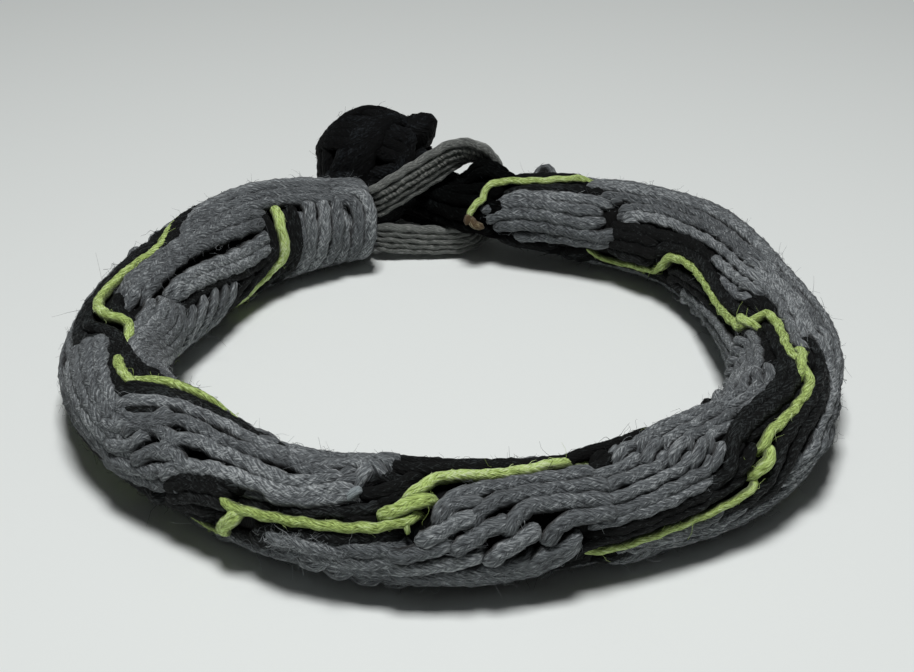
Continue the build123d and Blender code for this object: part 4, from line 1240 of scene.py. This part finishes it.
def neck_line():
    """Middle line of the neck: a cubic curve from the button end of the braid to the knot.

    Its four control points are the root, one along the braid's way, one along the knot's and the
    tip. It sags by NECK_SAG times the sine of half a turn.
    """
    way = np.array([*along_middle(CHART_LAST + CHART_START)[2:], 0.0])
    middle = section(np.array([CHART_LAST]))[0]
    root = middle[0] + UP * NECK_RISE * NECK_THICKNESS - way * NECK_INSIDE
    centre = np.array(KNOT_CENTRE)
    side = unit(closure_point(CROWN_REACH * LOOP_REACH, 0.0, CROWN_RISE * LOOP_RISE) - centre)
    tip = centre + side * (KNOT_DIAMETER / 2 - KNOT_INSIDE)
    pull = NECK_PULL * NECK_THICKNESS
    t = np.linspace(0, 1, 40)[:, None]
    a, b, c, d = root, root + way * (pull + NECK_INSIDE), tip + side * (pull + KNOT_INSIDE), tip
    line = a * (1 - t) ** 3 + 3 * b * t * (1 - t) ** 2 + 3 * c * t ** 2 * (1 - t) + d * t ** 3
    return line - UP * NECK_SAG * np.sin(np.pi * t)


def placed_cord(rows, facing, wide, high, shade=0.5):
    """Tube along points of the frame, its upper side turned one way."""
    points = smooth(rows)
    return tube(points, np.broadcast_to(facing, points.shape), wide, high, shade=shade)


def neck_cords():
    """The bundle of black cords round a slow twist, spread where they leave the braid.

    Their ring's radius is half of NECK_THICKNESS less NECK_EDGE, plus NECK_SPREAD times one less
    k squared times 3 - 2k, where k grows from 0 to 1 over NECK_TAPER.
    """
    line = neck_line()
    k = np.clip(length_along(line) / NECK_TAPER, 0, 1)
    spread = NECK_SPREAD * (1 - k * k * (3 - 2 * k))
    way = unit(np.gradient(line, axis=0))
    side = unit(np.cross(way, UP))
    up = np.cross(side, way)
    cords = [tube(line, up, NECK_FILLING + spread, NECK_FILLING + spread)]
    reach = (NECK_THICKNESS / 2 - NECK_EDGE + spread)[:, None]
    wide = NECK_SIZE[0] + NECK_WIDEN * spread
    for i in range(NECK_CORDS):
        angle = 2 * np.pi * i / NECK_CORDS + np.linspace(0, NECK_TWIST, len(line))[:, None]
        normal = side * np.cos(angle) + up * np.sin(angle)
        cords.append(tube(line + normal * reach, normal, wide, NECK_SIZE[1], shade=chance.uniform(0, 1)))
    return cords + [placed_cord(rows, SIDE_FACING, *SIDE_SIZE) for rows in SIDE_CORDS]


def burnt_tips():
    """The burnt end of the lime cord's tail, ragged and cream to brown."""
    return [placed_cord(rows, TAIL_FACING, wide, wide * TIP_FLATNESS, chance.uniform(0, 1))
            for wide, rows in BURNT_TIPS]


def knot_cords():
    """The button: cord wound over a ball in crossing turns, in winds that lie side by side.

    A point's way from the centre is the sine of b along the axis of winding, and the cosine of b
    times the cosine and the sine of a round it, turned by KNOT_TILT about the y axis. a is
    WIND_TURNS times t, and b is WIND_SWING times the cosine of WIND_WAVES times t, both a little
    further on from wind to wind. The radius swings twice as often as b, where the turns pass over
    and under each other.
    """
    apart, less, later = WIND_APART
    t = np.linspace(0, 2 * np.pi, WIND_POINTS)
    cords = []
    for wind in range(KNOT_WINDS):
        a = WIND_TURNS * t + wind * apart
        b = (WIND_SWING - less * wind) * np.cos(WIND_WAVES * t + later * wind)
        x, y, z = np.sin(b), np.cos(b) * np.cos(a), np.cos(b) * np.sin(a)
        turned = np.stack([x * np.cos(KNOT_TILT) + z * np.sin(KNOT_TILT), y,
                           -x * np.sin(KNOT_TILT) + z * np.cos(KNOT_TILT)], 1)
        fuller = KNOT_FULLER * np.maximum(turned @ np.array(KNOT_SHOULDER), 0) ** 3
        weave = WEAVE_DEPTH * np.sin(2 * WIND_WAVES * t + WEAVE_PHASE)
        radius = KNOT_DIAMETER / 2 - WIND_DEPTH + weave + fuller
        line = np.array(KNOT_CENTRE) + turned * radius[:, None]
        cords.append(tube(line, turned, *WIND_SIZE, shade=chance.uniform(0, 1)))
    return cords


def loose_fibres(name, tubes, count, knots, shortest, longest, rise):
    """Many fine fibres that leave the strands, each a closed three-sided hair.

    A point is the root, plus the length times four parts: way times t, bend times t squared, curl
    times the sine of turns times t, and coil times one less its cosine. The radius is FIBRE_RADIUS
    times a factor and one less FIBRE_TAPER times t. Roots lie on the outer half of the strands.
    """
    rings = np.array([len(item["points"]) - 2 for item in tubes])
    which = chance.choice(len(tubes), count, p=rings / rings.sum())
    place_on = chance.uniform(0, 1, count)
    around = SIDES // 2 + chance.integers(-3, 4, count)
    roots, outward, along = np.empty((count, 3)), np.empty((count, 3)), np.empty((count, 3))
    for number, item in enumerate(tubes):
        mine = np.flatnonzero(which == number)
        ring = 1 + (place_on[mine] * rings[number]).astype(int)
        points = item["points"]
        roots[mine] = points[ring, around[mine]]
        outward[mine] = unit(roots[mine] - points[ring].mean(axis=1))
        along[mine] = unit(points[ring].mean(axis=1) - points[ring - 1].mean(axis=1))
    side = unit(np.cross(outward, along))
    sense = chance.choice([-1.0, 1.0], count)[:, None]
    spread = chance.normal(0, FIBRE_SPREAD, (count, 1))
    lean = rise * chance.uniform(*FIBRE_LEAN, (count, 1))
    way = unit(along * sense + side * spread + outward * lean)
    length = shortest + (longest - shortest) * chance.uniform(0, 1, count) ** FIBRE_SKEW
    sideways = side * chance.normal(0, FIBRE_BEND, (count, 1))
    bend = sideways + outward * chance.uniform(*FIBRE_FALL, (count, 1)) * rise
    curl, coil = (across * chance.normal(0, FIBRE_CURL[0], (count, 1))
                  + outward * chance.normal(0, FIBRE_CURL[1], (count, 1)) for across in (side, along))
    t = np.linspace(0, 1, knots)[None, :, None]
    turns = chance.uniform(*FIBRE_TURNS, count)[:, None, None]
    straight = way[:, None] * t + bend[:, None] * t ** 2
    curled = straight + curl[:, None] * np.sin(turns * t) + coil[:, None] * (1 - np.cos(turns * t))
    middle = roots[:, None] + length[:, None, None] * curled
    run = unit(np.gradient(middle, axis=1))
    across = unit(np.cross(run, outward[:, None] + 0.01))
    upright = np.cross(across, run)
    angle = 2 * np.pi * np.arange(3) / 3
    thin = FIBRE_RADIUS * (1 - FIBRE_TAPER * t) * chance.uniform(*FIBRE_RANGE, (count, 1, 1))
    points = middle[:, :, None] + thin[..., None] * (across[:, :, None] * np.cos(angle)[:, None]
                                                     + upright[:, :, None] * np.sin(angle)[:, None])
    each = knots * 3
    corner = np.arange(3)
    after = (corner + 1) % 3
    step = 3 * np.arange(knots - 1)[:, None]
    quads = np.stack([step + corner, step + after, step + 3 + after, step + 3 + corner], -1)
    one = np.concatenate([quads.reshape(-1), [2, 1, 0], each - 3 + corner])
    corners = (each * np.arange(count)[:, None] + one).reshape(-1)
    totals = np.tile(np.concatenate([np.full((knots - 1) * 3, 4), [3, 3]]), count)
    start = chance.uniform(0, PATTERN_LENGTH, count)
    maps = np.stack([np.full((count, len(one)), AROUND / 2), np.repeat(start[:, None], len(one), 1)], -1)
    shades = np.repeat(chance.uniform(*FIBRE_SHADES, count), each)
    return make_mesh(name, points.reshape(-1, 3), corners, totals, maps.reshape(-1, 2), shades)


def add_camera():
    """Camera 30 degrees above the table, looking along +Y."""
    data = bpy.data.cameras.new("photo_camera")
    data.sensor_width = SENSOR_WIDTH
    data.lens = LENS_LENGTH
    camera = bpy.data.objects.new("photo_camera", data)
    camera.location = CAMERA_PLACE
    camera.rotation_euler = (np.radians(CAMERA_TURN), 0, 0)
    bpy.context.scene.collection.objects.link(camera)
    bpy.context.scene.camera = camera


def area_light(name, place_at, aim, size, power):
    """Soft square light at a place, turned to a point."""
    data = bpy.data.lights.new(name, "AREA")
    data.shape = "SQUARE"
    data.size = size
    data.energy = power
    lamp = bpy.data.objects.new(name, data)
    lamp.location = place_at
    way = Vector(aim) - Vector(place_at)
    lamp.rotation_euler = way.to_track_quat("-Z", "Y").to_euler()
    bpy.context.scene.collection.objects.link(lamp)


def add_studio():
    """Plain pale table and one soft light from above and slightly in front."""
    scene = bpy.context.scene
    scene.view_settings.view_transform = "Standard"
    world = bpy.data.worlds.new("studio")
    world.use_nodes = True
    background = world.node_tree.nodes["Background"]
    background.inputs["Color"].default_value = SKY_COLOUR
    background.inputs["Strength"].default_value = SKY_STRENGTH
    scene.world = world
    area_light("overhead", LIGHT_PLACE, LIGHT_AIM, LIGHT_SIZE, LIGHT_POWER)
    mesh = bpy.data.meshes.new("table")
    reach = TABLE_REACH
    corners = [(-reach, -reach, 0), (reach, -reach, 0), (reach, reach, 0), (-reach, reach, 0)]
    mesh.from_pydata(corners, [], [(0, 1, 2, 3)])
    table = bpy.data.objects.new("table", mesh)
    scene.collection.objects.link(table)
    paint = bpy.data.materials.new("pale_table")
    paint.use_nodes = True
    shader = paint.node_tree.nodes["Principled BSDF"]
    shader.inputs["Base Color"].default_value = TABLE_COLOUR
    shader.inputs["Roughness"].default_value = TABLE_ROUGHNESS
    mesh.materials.append(paint)


def band_core():
    """Packed dark core in the black cord's colour, whose black in the gaps between strands is partly
    painted shade: a grid of distances and turns CORE_DEPTH below the braid's surface.
    """
    s = np.arange(CHART_FIRST + CORE_INSETS[0], CHART_LAST - CORE_INSETS[1], CORE_STEP)
    around = CORE_SIDES
    turn = np.arange(0, 360, 360 / around)
    deep = np.full(len(s) * around, -CORE_DEPTH)
    points, _ = on_band(np.stack([np.repeat(s, around), np.tile(turn, len(s)), deep], 1))
    ring = np.arange(around)
    following = (ring + 1) % around
    base = around * np.arange(len(s) - 1)[:, None]
    quads = np.stack([base + ring, base + around + ring, base + around + following, base + following], -1)
    totals = [4] * ((len(s) - 1) * around) + [around, around]
    corners = np.concatenate([quads.reshape(-1), ring, around * (len(s) - 1) + ring[::-1]])
    maps = points[corners][:, :2]
    return make_mesh("band_core", points, corners, totals, maps, np.zeros(len(points)))


def wound_core():
    """Dark ball under the wound cords of the button, as one fat tube that closes at both ends.

    Its half width is the root of the ball's radius squared less the rise squared.
    """
    radius = KNOT_DIAMETER / 2 - BALL_DEPTH
    rise = np.linspace(-radius, radius, BALL_RINGS)
    swell = np.sqrt(np.maximum(radius ** 2 - rise ** 2, BALL_BLUNT))
    line = np.array(KNOT_CENTRE) + UP * rise[:, None]
    return tube(line, np.broadcast_to(HEADING, line.shape), swell, swell, plied=False)


def stub_cord():
    """Blunt cut end of the cord on the knot: a straight tube out of the ball along STUB_WAY."""
    tip = KNOT_DIAMETER / 2 + STUB_PROUD + STUB_EXTRA
    reach = np.linspace(KNOT_DIAMETER / 4, tip, 12)[:, None]
    line = np.array(KNOT_CENTRE) + unit(np.array(STUB_WAY)) * reach
    wide, high = (STUB_DIAMETER / 2 * share for share in STUB_SIZE)
    return tube(line, np.broadcast_to(UP, line.shape), wide, high)


add_camera()
add_studio()
strands = braid_strands()
place("band_core", band_core(), BLACK, "grey_cord", "woven_band")
for kind, tubes in strands.items():
    lay(f"{kind}_strands_a", tubes[0::2], KINDS[kind], "grey_cord", "woven_band")
    lay(f"{kind}_strands_b", tubes[1::2], KINDS[kind], "grey_cord", "woven_band")
wrap = wrap_cords()
lay("whipping", wrap + end_face(), GREY, "wrap_cord", "end_wrap")
ribs, stitches = loop_cords()
lay("corded_loop", ribs, LOOP, "loop_cord", "fastening_loop")
lay("loop_stitches", stitches, STITCH_GLINT, "loop_cord", "fastening_loop")
neck = neck_cords()
lay("neck_cords", neck, NECK_SHADED, "black_cord", "button_neck")
tail = placed_cord(LIME_TAIL, TAIL_FACING, *TAIL_SIZE, shade=0.6)
lay("lime_tail", [tail], LIME, "grey_cord", "woven_band")
lay("burnt_tip", burnt_tips(), BURNT, "grey_cord", "woven_band")
lay("pale_cord_end", [charted_strand(PALE_CHART, *PALE_SIZE)], PALE, "grey_cord", "woven_band")
knot = knot_cords()
lay("wound_knot", knot + [wound_core(), stub_cord()], KNOT, "knot_cord", "button_knot")
fray = [charted_strand(FRAY_CHART)]
lay("frayed_strand", fray, GREY, "grey_cord", "woven_band")
hairs = loose_fibres("frayed_fibres", fray, FRAY_COUNT, *FRAY_FIBRES)
place("frayed_fibres", hairs, GREY, "grey_cord", "woven_band")
for kind, tubes, slot, node in (("grey", strands["grey"] + wrap, "grey_cord", "woven_band"),
                                ("black", strands["black"], "grey_cord", "woven_band"),
                                ("lime", strands["lime"], "grey_cord", "woven_band"),
                                ("knot", knot + neck, "knot_cord", "button_knot")):
    for kept, count, fibres in zip(("short", "long"), FIBRE_COUNTS[kind], (SHORT_FIBRES, LONG_FIBRES)):
        name = f"{kind}_fibres_{kept}"
        place(name, loose_fibres(name, tubes, count, *fibres), KINDS[kind], slot, node)
